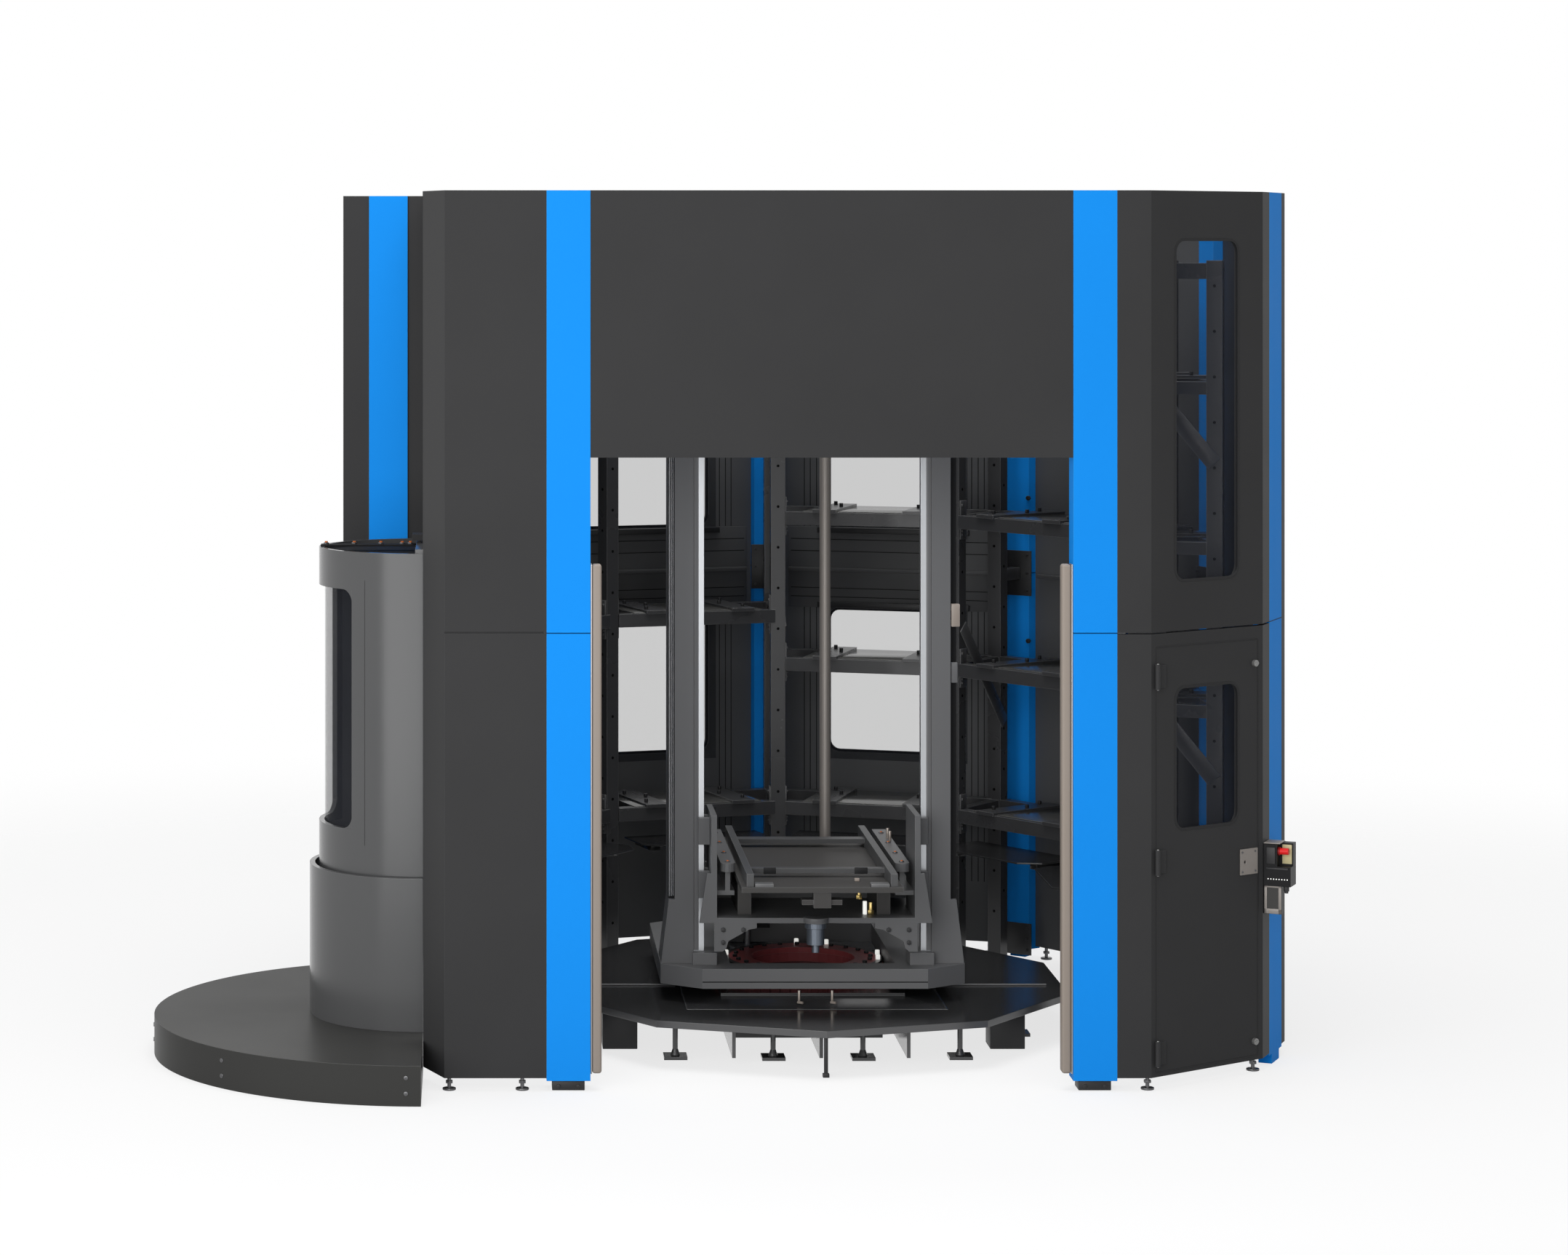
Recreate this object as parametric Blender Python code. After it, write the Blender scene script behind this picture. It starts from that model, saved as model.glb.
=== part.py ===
"""Round pallet storage tower with a loading station, in metres, +Z up.

A ten-sided sheet-metal tower stands round a slewing lift mast. The origin is on the mast's slewing
axis at floor level, -Y is the docking side, and the loading station stands on the -X side.
"""
import math

import bmesh
import bpy
from mathutils import Matrix

# Tower shell
SIDES = 10
PITCH = 2 * math.pi / SIDES
HALF_PITCH = PITCH / 2
HEIGHT = 3.20
IN_RADIUS = 1.745
SHEET = 0.025
GAP = 0.0003
LAP = 0.01
PANEL_FOOT = 0.046
SEAM_Z = 1.625
SEAM_SIZE = 0.006
STRIP_WIDTH = 0.156
STRIP_DEPTH = 0.06
STRIP_FOOT_HALF = 0.035
STRIP_FOOT_DEPTH = (0.008, 0.05)
COLUMN_FOOT = 0.036
FRONT_Y = -1.215
FRONT_COLUMN_IN = 0.858
FRONT_COLUMN_OUT = 1.014
FRONT_COLUMN_DEPTH = 0.10
FRONT_FOOT_HALF = 0.05
FRONT_FOOT_DEPTH = (0.02, 0.09)
HEADER_FOOT = 2.25
HEADER_SETBACK = 0.002
FRONT_LEFT_X = -1.377
FRONT_LEFT_RETURN = (-1.455, -1.02)
FRONT_RIGHT_X = 1.134
FACET_LENGTH = 0.576
CORNER_DARK = 0.10
CORNER_RETURN = 0.05
CORNER_FOOT_INSET = 0.04
CORNER_FOOT_DEPTH = 0.05
WALL_ANGLES = (36, 72, 108, 144)
WINDOW_WALLS = (72, 108)
COLUMN_ANGLES = (18, 54, 90, 126, 162)
WINDOW_WIDTH = 0.58
WINDOW_UPPER = (1.80, 3.03)
WINDOW_LOWER = (0.83, 1.45)
WINDOW_RADIUS = 0.05
PANE = 0.004
PANE_LAP = 0.03

# Service door on the right front facet, and the guard lock beside it
FACET_WINDOW = (0.118, 0.454)
DOOR_SPAN = (0.028, 0.548)
DOOR_HEIGHT = (0.064, 1.572)
DOOR_GAP = 0.0025
DOOR_WINDOW = (0.91, 1.43)
HINGE_T = 0.022
HINGE_OUT = 0.012
HINGE_RADIUS = 0.009
HINGE_HALF = 0.045
HINGE_LEVELS = (0.13, 0.81, 1.47)
LEAF_SPAN = (0.007, 0.045)
LEAF_DEPTH = (-0.008, 0.004)
LEAF_HALF = 0.04
KNUCKLE_SPAN = (0.002, 0.012)
KNUCKLE_DEPTH = (-0.014, -0.002)
LATCH_T = 0.53
LATCH_LEVELS = {"cam_latch_lower": 0.114, "cam_latch_upper": 1.488}
LATCH_RADIUS = 0.012
LATCH_DEPTH = 0.012
LATCH_BAR = (0.009, 0.016, 0.0025)
HANDLE_SPAN = (0.455, 0.543)
HANDLE_HEIGHT = (0.724, 0.817)
HANDLE_PLATE = 0.006
HANDLE_HOLE = (0.477, 0.77)
HANDLE_HOLE_RADIUS = 0.006
LOCK_SPAN = (0.008, 0.092)
LOCK_DEPTH = 0.10
LOCK_HEIGHT = (0.674, 0.828)
LOCK_STEP_T = 0.05
LOCK_STEP_DEPTH = 0.05
LOCK_STEP_FOOT = 0.745
GRIP_SPAN = (0.014, 0.05)
GRIP_DEPTH = 0.065
GRIP_HEIGHT = (0.572, 0.68)
KNOB_T = 0.029
KNOB_Z = 0.80
KNOB_RADIUS = 0.012
KNOB_PLAY = 0.0015
KNOB_REACH = (-0.015, 0.038)
KNOB_BORE_DEPTH = 0.025

# Loading station
STATION_X = -1.457
STATION_Y = -0.455
PLATFORM_RADIUS = 1.01
PLATFORM_TOP = 0.142
STATION_BACK_Y = 0.115
STATION_BACK_EDGE = -1.781
STATION_STRIP = (-1.68, -1.53)
STATION_STRIP_THICK = 0.01
LOWER_WALL_RADIUS = 0.43
LOWER_WALL_TOP = 0.70
ROTOR_RADIUS = 0.395
ROTOR_HEIGHT = (0.68, 1.88)
ROTOR_WALL = 0.02
ROTOR_WINDOW_SPAN = (math.radians(153), math.radians(228))
ROTOR_WINDOW = (0.86, 1.74)
ROTOR_PANE_GAP = 0.0015
ROTOR_PANE_LAP = 0.08
YOKE_HALF = 0.03
YOKE_HEIGHT = (1.868, 1.895)
YOKE_INSET = 0.008
STATION_HEADER_FRONT = -1.01
STATION_HEADER_FOOT = 1.914
LUG_SPAN = (-0.045, 0.02)
LUG_HALF = 0.055
LUG_HEIGHT = (-0.01, 0.012)
PIVOT_RADIUS = 0.012
PIVOT_FOOT = 1.865
PIVOT_PLAY = 0.0015

# Floor pan and slewing gear
PAN_RADIUS = 1.03
PAN_HEIGHT = (0.15, 0.175)
PAN_FEET = ((0.166, 0.66), (0.527, 0.645), (0.80, 0.22))
PAD_HALF = 0.043
PAD_THICK = 0.012
BOSS_RADIUS = 0.02
BOSS_TOP = 0.034
STEM_RADIUS = 0.010
RIB_PLACES = (-0.32, 0.0, 0.32)
RIB_HALF = 0.0065
RIB_SPAN = (0.33, 0.80)
RIB_FOOT = 0.031
PEDESTAL_HALF = 0.28
PEDESTAL_PLATE = 0.02
PEDESTAL_RADIUS = 0.22
SLEW_PLATE_HALF = 0.345
SLEW_SLOPE_HALF = 0.486
SLEW_STRETCH = 1.3
SLEW_PLATE_FOOT = 0.187
SLEW_PLATE_TOP = 0.202
RING_TOP = 0.2367
RING_TEETH = 56
PINION_TEETH = 14
GEAR_MODULE = 0.0125
TOOTH_HALF = 0.0045
TOOTH_DEPTH = (0.008, 0.006)
RING_BORE = 0.20
INNER_RING_RADIUS = 0.307
INNER_RING_TOP = 0.258
PINION_ANGLE = math.radians(115)
PINION_INSET = 0.002
PINION_SHAFT = 0.014
CENTRE_PLAY = 0.004
SLEW_MOTOR_RADIUS = 0.062
SLEW_MOTOR_TOP = 0.52
SLEW_FLANGE = ((-0.085, -0.075), (0.085, 0.10))
SLEW_FLANGE_THICK = 0.016

# Mast
BASE_HALF_X = 0.571
BASE_HALF_Y = 0.55
BASE_FRONT_HALF = 0.42
BASE_OPENING = (0.31, 0.43)
BASE_HEIGHT = (0.237, 0.311)
MAST_SPAN = (0.4467, 0.518)
MAST_DEPTH = (-0.44, -0.24)
MAST_TOP = 3.0
MAST_FOOT_TOP = 0.551
MAST_FOOT_OUT = (0.569, 0.540)
MAST_COVER_OUT = 0.542
MAST_COVER_DEPTH = (-0.41, -0.27)
RAIL_BLOCK_SPAN = (0.362, 0.452)
RAIL_BLOCK_DEPTH = (-0.475, -0.34)
RAIL_BLOCK_TOP = 0.3565
RAIL_IN = 0.407
RAIL_DEPTH = (-0.43, -0.39)
RAIL_TOP = 2.95
BEAM_DEPTH = (-0.40, -0.28)
BEAM_HEIGHT = 0.08
BEAM_ARM_INSET = 0.004
SPINDLE_X = 0.13
SPINDLE_Y = 0.47
SPINDLE_RADIUS = 0.022
SPINDLE_PLAY = 0.001
SPINDLE_ARM_HALF = 0.05
SPINDLE_BLOCK_RADIUS = 0.05
SPINDLE_BLOCK_TOP = 0.36
LIFT_MOTOR = ((0.06, 3.17), (0.045, 3.19))

# Lift carriage, fork table and fork
CARRIAGE_DEPTH = (-0.58, -0.10)
CARRIAGE_PLATE = (0.487, 0.506)
SIDE_SPAN = (0.368, 0.389)
SIDE_BACK = -0.28
SIDE_TOP = 0.886
SHOE_OUT = 0.430
SHOE_PLAY = 0.0005
SHOE_THICK = 0.03
SHOE_LEVELS = ((0.56, 0.66), (0.76, 0.86))
WING_THICK = 0.018
WING_OUT = (0.433, 0.404)
WING_TOP = 0.6706
BRACKET_OUTLINE = ((0.22, 0.495), (0.22, 0.468), (0.25, 0.462), (0.325, 0.420), (0.334, 0.392),
                   (0.346, 0.381), (0.378, 0.381), (0.378, 0.495))
BACK_PLATE_DEPTH = (-0.13, -0.11)
NUT_ARM_HALF = 0.045
NUT_ARM_HEIGHT = (0.53, 0.585)
NUT_RADIUS = 0.04
NUT_TOP = 0.63
PAD_RAIL_SPAN = (0.298, 0.352)
PAD_RAIL_DEPTH = (-0.56, 0.30)
PAD_RAIL_HEIGHT = (0.673, 0.705)
PAD_LEG_SPAN = (0.316, 0.334)
PAD_LEG_DEPTH = (-0.53, -0.13)
PAD_BASE_IN = 0.300
PAD_BASE_HEIGHT = (0.583, 0.600)
TABLE_HALF = 0.295
TABLE_DEPTH = (-0.85, 0.37)
TABLE_HEIGHT = (0.644, 0.664)
TABLE_LEG_SPAN = (0.235, 0.285)
TABLE_LEG_DEPTH = (-0.50, -0.14)
DRIVE_BLOCK_HALF = 0.032
DRIVE_BLOCK_DEPTH = (-0.845, -0.79)
DRIVE_BLOCK_FOOT = 0.587
DRIVE_BAR_HALF = 0.0734
DRIVE_BAR_HEIGHT = (0.597, 0.616)
FORK_MOTOR_Y = -0.56
FORK_MOTOR = ((0.04, 0.466), (0.033, 0.405), (0.014, 0.375))
FORK_RAIL_SPAN = (0.250, 0.276)
FORK_RAIL_DEPTH = (-0.84, 0.36)
FORK_RAIL_TOP = 0.711
CROSSBAR_DEPTH = (-0.62, -0.585)
CROSSBAR_HEIGHT = (0.679, 0.697)
REAR_BAR_DEPTH = (0.10, 0.16)

# Rack
POST = 0.06
POST_INNER = 1.22
POST_OUTER = 1.58
POST_TOP = 2.95
POST_FOOT_HALF = 0.055
POST_FOOT_THICK = 0.012
ARM_HALF = 0.022
ARM_BELOW = (0.052, 0.004)
TOP_ARM_BELOW = (0.07, 0.01)
LEVELS_NARROW = (0.69, 1.29, 1.90, 2.50)
LEVELS_TALL = (0.69, 1.49, 2.30)
RACK_LEVELS = {-18: LEVELS_NARROW, 18: LEVELS_NARROW, 54: LEVELS_NARROW,
               90: LEVELS_TALL, 126: LEVELS_TALL, 162: LEVELS_TALL}
LAST_RACK = 162
SHELF_RAIL = (0.05, 0.055)
SHELF_RAIL_SHORT = 0.04
SHELF_PLATES = ((-0.26, -0.16), (0.12, 0.22))
SHELF_PLATE_LAP = (0.035, 0.03)
SHELF_PLATE_SINK = 0.003
SHELF_PLATE = 0.012


def clear_scene():
    """Empty the startup scene and make the two collections."""
    for old in list(bpy.data.objects):
        bpy.data.objects.remove(old)
    for name in ("pallet_storage_tower", "cutters"):
        bpy.context.scene.collection.children.link(bpy.data.collections.new(name))


def finish(name, colour, roughness, metallic=0.0, alpha=1.0):
    """A Principled material with one colour."""
    material = bpy.data.materials.new(name)
    material.use_nodes = True
    shader = material.node_tree.nodes["Principled BSDF"]
    shader.inputs["Base Color"].default_value = (*colour, 1.0)
    shader.inputs["Roughness"].default_value = roughness
    shader.inputs["Metallic"].default_value = metallic
    shader.inputs["Alpha"].default_value = alpha
    material.diffuse_color = (*colour, alpha)
    return material


def cube(low, high):
    """A box between two corners."""
    bm = bmesh.new()
    bmesh.ops.create_cube(bm, size=1.0)
    size = [b - a for a, b in zip(low, high)]
    middle = [(a + b) / 2 for a, b in zip(low, high)]
    bmesh.ops.scale(bm, vec=size, verts=bm.verts)
    bmesh.ops.translate(bm, vec=middle, verts=bm.verts)
    return to_mesh(bm)


def slab(x, y, z):
    """A box from its three spans."""
    return cube((x[0], y[0], z[0]), (x[1], y[1], z[1]))


def cylinder(radius, z0, z1, x=0.0, y=0.0, sides=24, top_radius=None):
    """An upright cylinder, or a cone frustum with another top radius."""
    bm = bmesh.new()
    upper = radius if top_radius is None else top_radius
    place = Matrix.Translation((x, y, (z0 + z1) / 2))
    bmesh.ops.create_cone(bm, cap_ends=True, segments=sides, radius1=radius, radius2=upper,
                          depth=z1 - z0, matrix=place)
    return to_mesh(bm)


def to_mesh(bm):
    mesh = bpy.data.meshes.new("shape")
    bm.to_mesh(mesh)
    bm.free()
    return mesh


def prism(points, z0, z1):
    """A flat outline, extruded from z0 to z1."""
    curve = bpy.data.curves.new("outline", "CURVE")
    curve.dimensions = "2D"
    curve.fill_mode = "BOTH"
    curve.extrude = (z1 - z0) / 2
    spline = curve.splines.new("POLY")
    spline.points.add(len(points) - 1)
    for point, (x, y) in zip(spline.points, points):
        point.co = (x, y, 0.0, 1.0)
    spline.use_cyclic_u = True
    holder = bpy.data.objects.new("outline", curve)
    bpy.context.scene.collection.objects.link(holder)
    mesh = bpy.data.meshes.new_from_object(holder.evaluated_get(bpy.context.evaluated_depsgraph_get()))
    bpy.data.objects.remove(holder)
    bpy.data.curves.remove(curve)
    bm = bmesh.new()
    bm.from_mesh(mesh)
    bpy.data.meshes.remove(mesh)
    bmesh.ops.remove_doubles(bm, verts=bm.verts, dist=1e-5)
    bmesh.ops.recalc_face_normals(bm, faces=bm.faces)
    bmesh.ops.translate(bm, vec=(0, 0, (z0 + z1) / 2), verts=bm.verts)
    return to_mesh(bm)


def upright_prism(points, y0, y1):
    """An outline in the XZ plane, extruded from y0 to y1."""
    return moved(prism(points, -y1, -y0), Matrix.Rotation(math.pi / 2, 4, "X"))


def moved(mesh, matrix):
    mesh.transform(matrix)
    return mesh


def turned(mesh, angle):
    """A mesh turned about +Z."""
    return moved(mesh, Matrix.Rotation(angle, 4, "Z"))


def mirrored(mesh):
    """A copy of a mesh on the other side of the YZ plane, with its faces still pointing out."""
    bm = bmesh.new()
    bm.from_mesh(mesh)
    bmesh.ops.scale(bm, vec=(-1, 1, 1), verts=bm.verts)
    bmesh.ops.reverse_faces(bm, faces=bm.faces)
    return to_mesh(bm)


def both_sides(meshes):
    return meshes + [mirrored(mesh) for mesh in meshes]


def arc(radius, start, stop, steps, x=0.0, y=0.0):
    """Points along an arc about (x, y)."""
    angles = [start + (stop - start) * i / steps for i in range(steps + 1)]
    return [(x + radius * math.cos(a), y + radius * math.sin(a)) for a in angles]


def ribbon(path, thickness):
    """Outline of a folded sheet: the path, and the path moved to its left by the thickness."""
    inner = []
    for i, (x, y) in enumerate(path):
        normals = []
        for a, b in ((i - 1, i), (i, i + 1)):
            if a >= 0 and b < len(path):
                dx, dy = path[b][0] - path[a][0], path[b][1] - path[a][1]
                length = math.hypot(dx, dy)
                normals.append((-dy / length, dx / length))
        nx = sum(n[0] for n in normals)
        ny = sum(n[1] for n in normals)
        mitre = thickness * len(normals) / (nx * nx + ny * ny)
        inner.append((x + nx * mitre, y + ny * mitre))
    return list(path) + inner[::-1]


def rounded_window(x0, x1, z0, z1, radius, depth):
    """An upright rounded rectangle, standing in the XZ plane and running through y = 0."""
    corners = ((x1 - radius, z1 - radius, 0), (x0 + radius, z1 - radius, 1),
               (x0 + radius, z0 + radius, 2), (x1 - radius, z0 + radius, 3))
    points = []
    for x, z, quarter in corners:
        points += arc(radius, quarter * math.pi / 2, (quarter + 1) * math.pi / 2, 4, x, z)
    return upright_prism(points, -depth, depth)


def fused(meshes):
    """One body from shapes that run into each other."""
    holders = []
    for mesh in (meshes[0], joined(meshes[1:])):
        holder = bpy.data.objects.new("shape", mesh)
        bpy.context.scene.collection.objects.link(holder)
        holders.append(holder)
    union = holders[0].modifiers.new("union", "BOOLEAN")
    union.operation = "UNION"
    union.object = holders[1]
    union.use_self = True
    view = bpy.context.evaluated_depsgraph_get()
    mesh = bpy.data.meshes.new_from_object(holders[0].evaluated_get(view))
    for holder in holders:
        bpy.data.objects.remove(holder)
    return mesh


def joined(meshes):
    bm = bmesh.new()
    for mesh in meshes:
        bm.from_mesh(mesh)
    return to_mesh(bm)


def anchor(name, location, parent=None):
    """An empty on a joint's axis."""
    empty = bpy.data.objects.new(name, None)
    empty.empty_display_size = 0.1
    bpy.data.collections["pallet_storage_tower"].objects.link(empty)
    hang(empty, location, 0.0, parent)
    return empty


def hang(thing, location, turn, parent):
    """Place an object by its world location and its turn about +Z, under an unturned parent."""
    origin = parent["world"] if parent else (0.0, 0.0, 0.0)
    thing["world"] = location
    thing.parent = parent
    thing.location = [a - b for a, b in zip(location, origin)]
    thing.rotation_euler[2] = turn


def part(name, mesh, material, location=(0.0, 0.0, 0.0), turn=0.0, parent=None, smooth=None):
    """One named piece of the tower."""
    mesh.name = name
    mesh.materials.clear()
    mesh.materials.append(material)
    if smooth is not None:
        mesh.shade_smooth()
        mesh.set_sharp_from_angle(angle=math.radians(smooth))
    piece = bpy.data.objects.new(name, mesh)
    bpy.data.collections["pallet_storage_tower"].objects.link(piece)
    hang(piece, location, turn, parent)
    return piece


def cut(piece, mesh, name):
    """Cut a shape, given in the piece's own axes, out of the piece."""
    cutter = bpy.data.objects.new(name, mesh)
    bpy.data.collections["cutters"].objects.link(cutter)
    cutter.parent = piece
    cutter.hide_render = True
    cutter.display_type = "WIRE"
    opening = piece.modifiers.new(name, "BOOLEAN")
    opening.operation = "DIFFERENCE"
    opening.object = cutter


def along(point, direction, distance):
    return point[0] + direction[0] * distance, point[1] + direction[1] * distance


clear_scene()
ANTHRACITE = finish("anthracite_sheet", (0.062, 0.063, 0.065), 0.45)
BLUE = finish("blue_strip", (0.013, 0.35, 1.0), 0.40)
STATION_GREY = finish("station_grey", (0.14, 0.14, 0.145), 0.38, 0.3)
STEP_GREY = finish("step_plate", (0.10, 0.10, 0.098), 0.55)
MAST_GREY = finish("mast_paint", (0.107, 0.109, 0.114), 0.5)
RACK_GREY = finish("rack_paint", (0.12, 0.12, 0.125), 0.5)
PAN_BLACK = finish("pan_gloss", (0.03, 0.031, 0.033), 0.15)
STEEL = finish("ground_steel", (0.58, 0.62, 0.66), 0.2, 1.0)
STAINLESS = finish("stainless", (0.26, 0.23, 0.2), 0.35, 1.0)
GEAR_RED = finish("gear_primer", (0.10, 0.017, 0.02), 0.5)
BLACK = finish("black_plastic", (0.012, 0.012, 0.012), 0.45)
RED = finish("red_plastic", (1.0, 0.014, 0.014), 0.35)
CLEAR = finish("clear_pane", (0.8, 0.85, 0.88), 0.05, 0.0, 0.25)
lying = Matrix.Rotation(math.pi / 2, 4, "X")

# Front frame: two blue columns, the header and the narrow left front panel
for side, name in ((-1, "front_column_left"), (1, "front_column_right")):
    middle = side * (FRONT_COLUMN_IN + FRONT_COLUMN_OUT) / 2
    half = (FRONT_COLUMN_OUT - FRONT_COLUMN_IN) / 2
    shaft = slab((-half, half), (0, FRONT_COLUMN_DEPTH), (COLUMN_FOOT, HEIGHT))
    foot = slab((-FRONT_FOOT_HALF, FRONT_FOOT_HALF), FRONT_FOOT_DEPTH, (0, COLUMN_FOOT + LAP))
    part(name, fused([shaft, foot]), BLUE, (middle, FRONT_Y, 0))

header_half = FRONT_COLUMN_IN - GAP
part("front_header_panel", slab((-header_half, header_half), (0, SHEET), (HEADER_FOOT, HEIGHT)),
     ANTHRACITE, (0, FRONT_Y + HEADER_SETBACK, 0))

left_start = -FRONT_COLUMN_OUT - GAP
left_path = [FRONT_LEFT_RETURN, (FRONT_LEFT_X, FRONT_Y), (left_start, FRONT_Y)]
front_left = part("front_left_panel", prism(ribbon(left_path, SHEET), PANEL_FOOT, HEIGHT), ANTHRACITE)
left_seam = slab((FRONT_LEFT_RETURN[0] - LAP, left_start - LAP), (FRONT_Y - LAP, FRONT_Y + SEAM_SIZE),
                 (SEAM_Z, SEAM_Z + SEAM_SIZE))
cut(front_left, left_seam, "front_left_seam")

# Right front: the upper panel with its window, the frame below it and the corner strip
facet_turn = PITCH
facet_way = (math.cos(facet_turn), math.sin(facet_turn))
facet_out = (facet_way[1], -facet_way[0])
facet_start = (FRONT_RIGHT_X, FRONT_Y)
facet_end = along(facet_start, facet_way, FACET_LENGTH)
right_corner = (IN_RADIUS, -IN_RADIUS * math.tan(HALF_PITCH))
corner_turn = math.atan2(right_corner[1] - facet_end[1], right_corner[0] - facet_end[0])
corner_way = (math.cos(corner_turn), math.sin(corner_turn))
corner_length = math.dist(facet_end, right_corner)
right_path = [(FRONT_COLUMN_OUT + GAP, FRONT_Y), facet_start, facet_end,
              along(facet_end, corner_way, CORNER_DARK)]
right_outline = ribbon(right_path, SHEET)
facet_place = Matrix.Translation((*facet_start, 0)) @ Matrix.Rotation(facet_turn, 4, "Z")

right_upper = part("right_upper_panel", prism(right_outline, SEAM_Z + SEAM_SIZE / 2, HEIGHT), ANTHRACITE)
upper_window = rounded_window(*FACET_WINDOW, *WINDOW_UPPER, WINDOW_RADIUS, 3 * SHEET)
cut(right_upper, moved(upper_window, facet_place), "right_upper_window")
door_frame = part("right_door_frame", prism(right_outline, PANEL_FOOT, SEAM_Z - SEAM_SIZE / 2), ANTHRACITE)
door_hole = slab((DOOR_SPAN[0] - DOOR_GAP, DOOR_SPAN[1] + DOOR_GAP), (-2 * SHEET, 3 * SHEET),
                 (DOOR_HEIGHT[0] - DOOR_GAP, DOOR_HEIGHT[1] + DOOR_GAP))
cut(door_frame, moved(door_hole, facet_place), "service_door_opening")
pane_span = (FACET_WINDOW[0] - PANE_LAP, FACET_WINDOW[1] + PANE_LAP)
pane_depth = (SHEET + GAP, SHEET + GAP + PANE)
upper_pane = slab(pane_span, pane_depth, (WINDOW_UPPER[0] - PANE_LAP, WINDOW_UPPER[1] + PANE_LAP))
part("right_upper_pane", upper_pane, CLEAR, (*facet_start, 0), facet_turn)

strip_path = [along(facet_end, corner_way, CORNER_DARK + GAP),
              along(facet_end, corner_way, corner_length - CORNER_RETURN - GAP)]
corner_foot_path = [along(strip_path[0], corner_way, CORNER_FOOT_INSET),
                    along(strip_path[1], corner_way, -CORNER_FOOT_INSET)]
corner_shaft = prism(ribbon(strip_path, STRIP_DEPTH), COLUMN_FOOT, HEIGHT)
corner_foot = prism(ribbon(corner_foot_path, CORNER_FOOT_DEPTH), 0, COLUMN_FOOT + LAP)
part("corner_column_right_front", fused([corner_shaft, corner_foot]), BLUE)

# Ten-sided shell: blue strips on the corners, flat walls between them
corner_cut = STRIP_WIDTH / (2 * math.cos(HALF_PITCH))
wall_half = IN_RADIUS * math.tan(HALF_PITCH) - corner_cut
strip_radius = IN_RADIUS / math.cos(HALF_PITCH) - corner_cut * math.sin(HALF_PITCH)
seam_height = (SEAM_Z, SEAM_Z + SEAM_SIZE)

for degrees in COLUMN_ANGLES:
    angle = math.radians(degrees)
    outer_half = STRIP_WIDTH / 2 - GAP
    inner_half = outer_half - STRIP_DEPTH * math.tan(HALF_PITCH)
    outline = [(-outer_half, 0), (outer_half, 0), (inner_half, STRIP_DEPTH), (-inner_half, STRIP_DEPTH)]
    foot = slab((-STRIP_FOOT_HALF, STRIP_FOOT_HALF), STRIP_FOOT_DEPTH, (0, COLUMN_FOOT + LAP))
    part(f"corner_column_{degrees}", fused([prism(outline, COLUMN_FOOT, HEIGHT), foot]), BLUE,
         (strip_radius * math.cos(angle), strip_radius * math.sin(angle), 0), angle + math.pi / 2)

for degrees in WALL_ANGLES:
    angle = math.radians(degrees)
    spot = (IN_RADIUS * math.cos(angle), IN_RADIUS * math.sin(angle), 0)
    turn = angle + math.pi / 2
    wall = part(f"wall_panel_{degrees}", slab((-wall_half, wall_half), (0, SHEET), (PANEL_FOOT, HEIGHT)),
                ANTHRACITE, spot, turn)
    wall_seam = slab((-wall_half - LAP, wall_half + LAP), (-LAP, SEAM_SIZE), seam_height)
    cut(wall, wall_seam, f"wall_{degrees}_seam")
    if degrees in WINDOW_WALLS:
        half = WINDOW_WIDTH / 2
        for label, span in (("upper", WINDOW_UPPER), ("lower", WINDOW_LOWER)):
            window = rounded_window(-half, half, *span, WINDOW_RADIUS, 3 * SHEET)
            cut(wall, window, f"wall_{degrees}_{label}")
        pane = slab((-half - PANE_LAP, half + PANE_LAP), pane_depth,
                    (WINDOW_LOWER[0] - PANE_LAP, WINDOW_UPPER[1] + PANE_LAP))
        part(f"wall_pane_{degrees}", pane, CLEAR, spot, turn)

right_wall_path = [along(right_corner, corner_way, -CORNER_RETURN), right_corner, (IN_RADIUS, wall_half)]
right_wall = part("wall_panel_0", prism(ribbon(right_wall_path, SHEET), PANEL_FOOT, HEIGHT), ANTHRACITE)
right_seam = slab((IN_RADIUS - SEAM_SIZE, IN_RADIUS + LAP),
                  (right_corner[1] + 2 * LAP, wall_half + LAP), seam_height)
cut(right_wall, right_seam, "wall_0_seam")

# Loading station: left walls, header with its pivot, step platform, lower wall and rotary door
left_sheet = slab((-IN_RADIUS, -IN_RADIUS + SHEET), (STATION_BACK_Y + SHEET + GAP, wall_half),
                  (PANEL_FOOT, HEIGHT))
left_wall = part("wall_panel_180", left_sheet, ANTHRACITE)
side_seam = slab((-IN_RADIUS - LAP, -IN_RADIUS + SEAM_SIZE), (STATION_BACK_Y, wall_half + LAP), seam_height)
cut(left_wall, side_seam, "wall_180_seam")
part("station_back_panel", slab((STATION_BACK_EDGE, STATION_X), (STATION_BACK_Y, STATION_BACK_Y + SHEET),
                                (PANEL_FOOT, HEIGHT)), ANTHRACITE)
part("station_back_strip", slab(STATION_STRIP, (STATION_BACK_Y - STATION_STRIP_THICK, STATION_BACK_Y - GAP),
                                (PLATFORM_TOP + GAP, HEIGHT)), BLUE)

header_sheet = slab((STATION_X, STATION_X + SHEET), (STATION_HEADER_FRONT, STATION_BACK_Y - GAP),
                    (STATION_HEADER_FOOT, HEIGHT))
pivot_lug = slab((STATION_X + LUG_SPAN[0], STATION_X + LUG_SPAN[1]),
                 (STATION_Y - LUG_HALF, STATION_Y + LUG_HALF),
                 (STATION_HEADER_FOOT + LUG_HEIGHT[0], STATION_HEADER_FOOT + LUG_HEIGHT[1]))
pivot_pin = cylinder(PIVOT_RADIUS, PIVOT_FOOT, STATION_HEADER_FOOT, STATION_X, STATION_Y, 16)
part("station_header_panel", fused([header_sheet, pivot_lug, pivot_pin]), ANTHRACITE)

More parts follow.
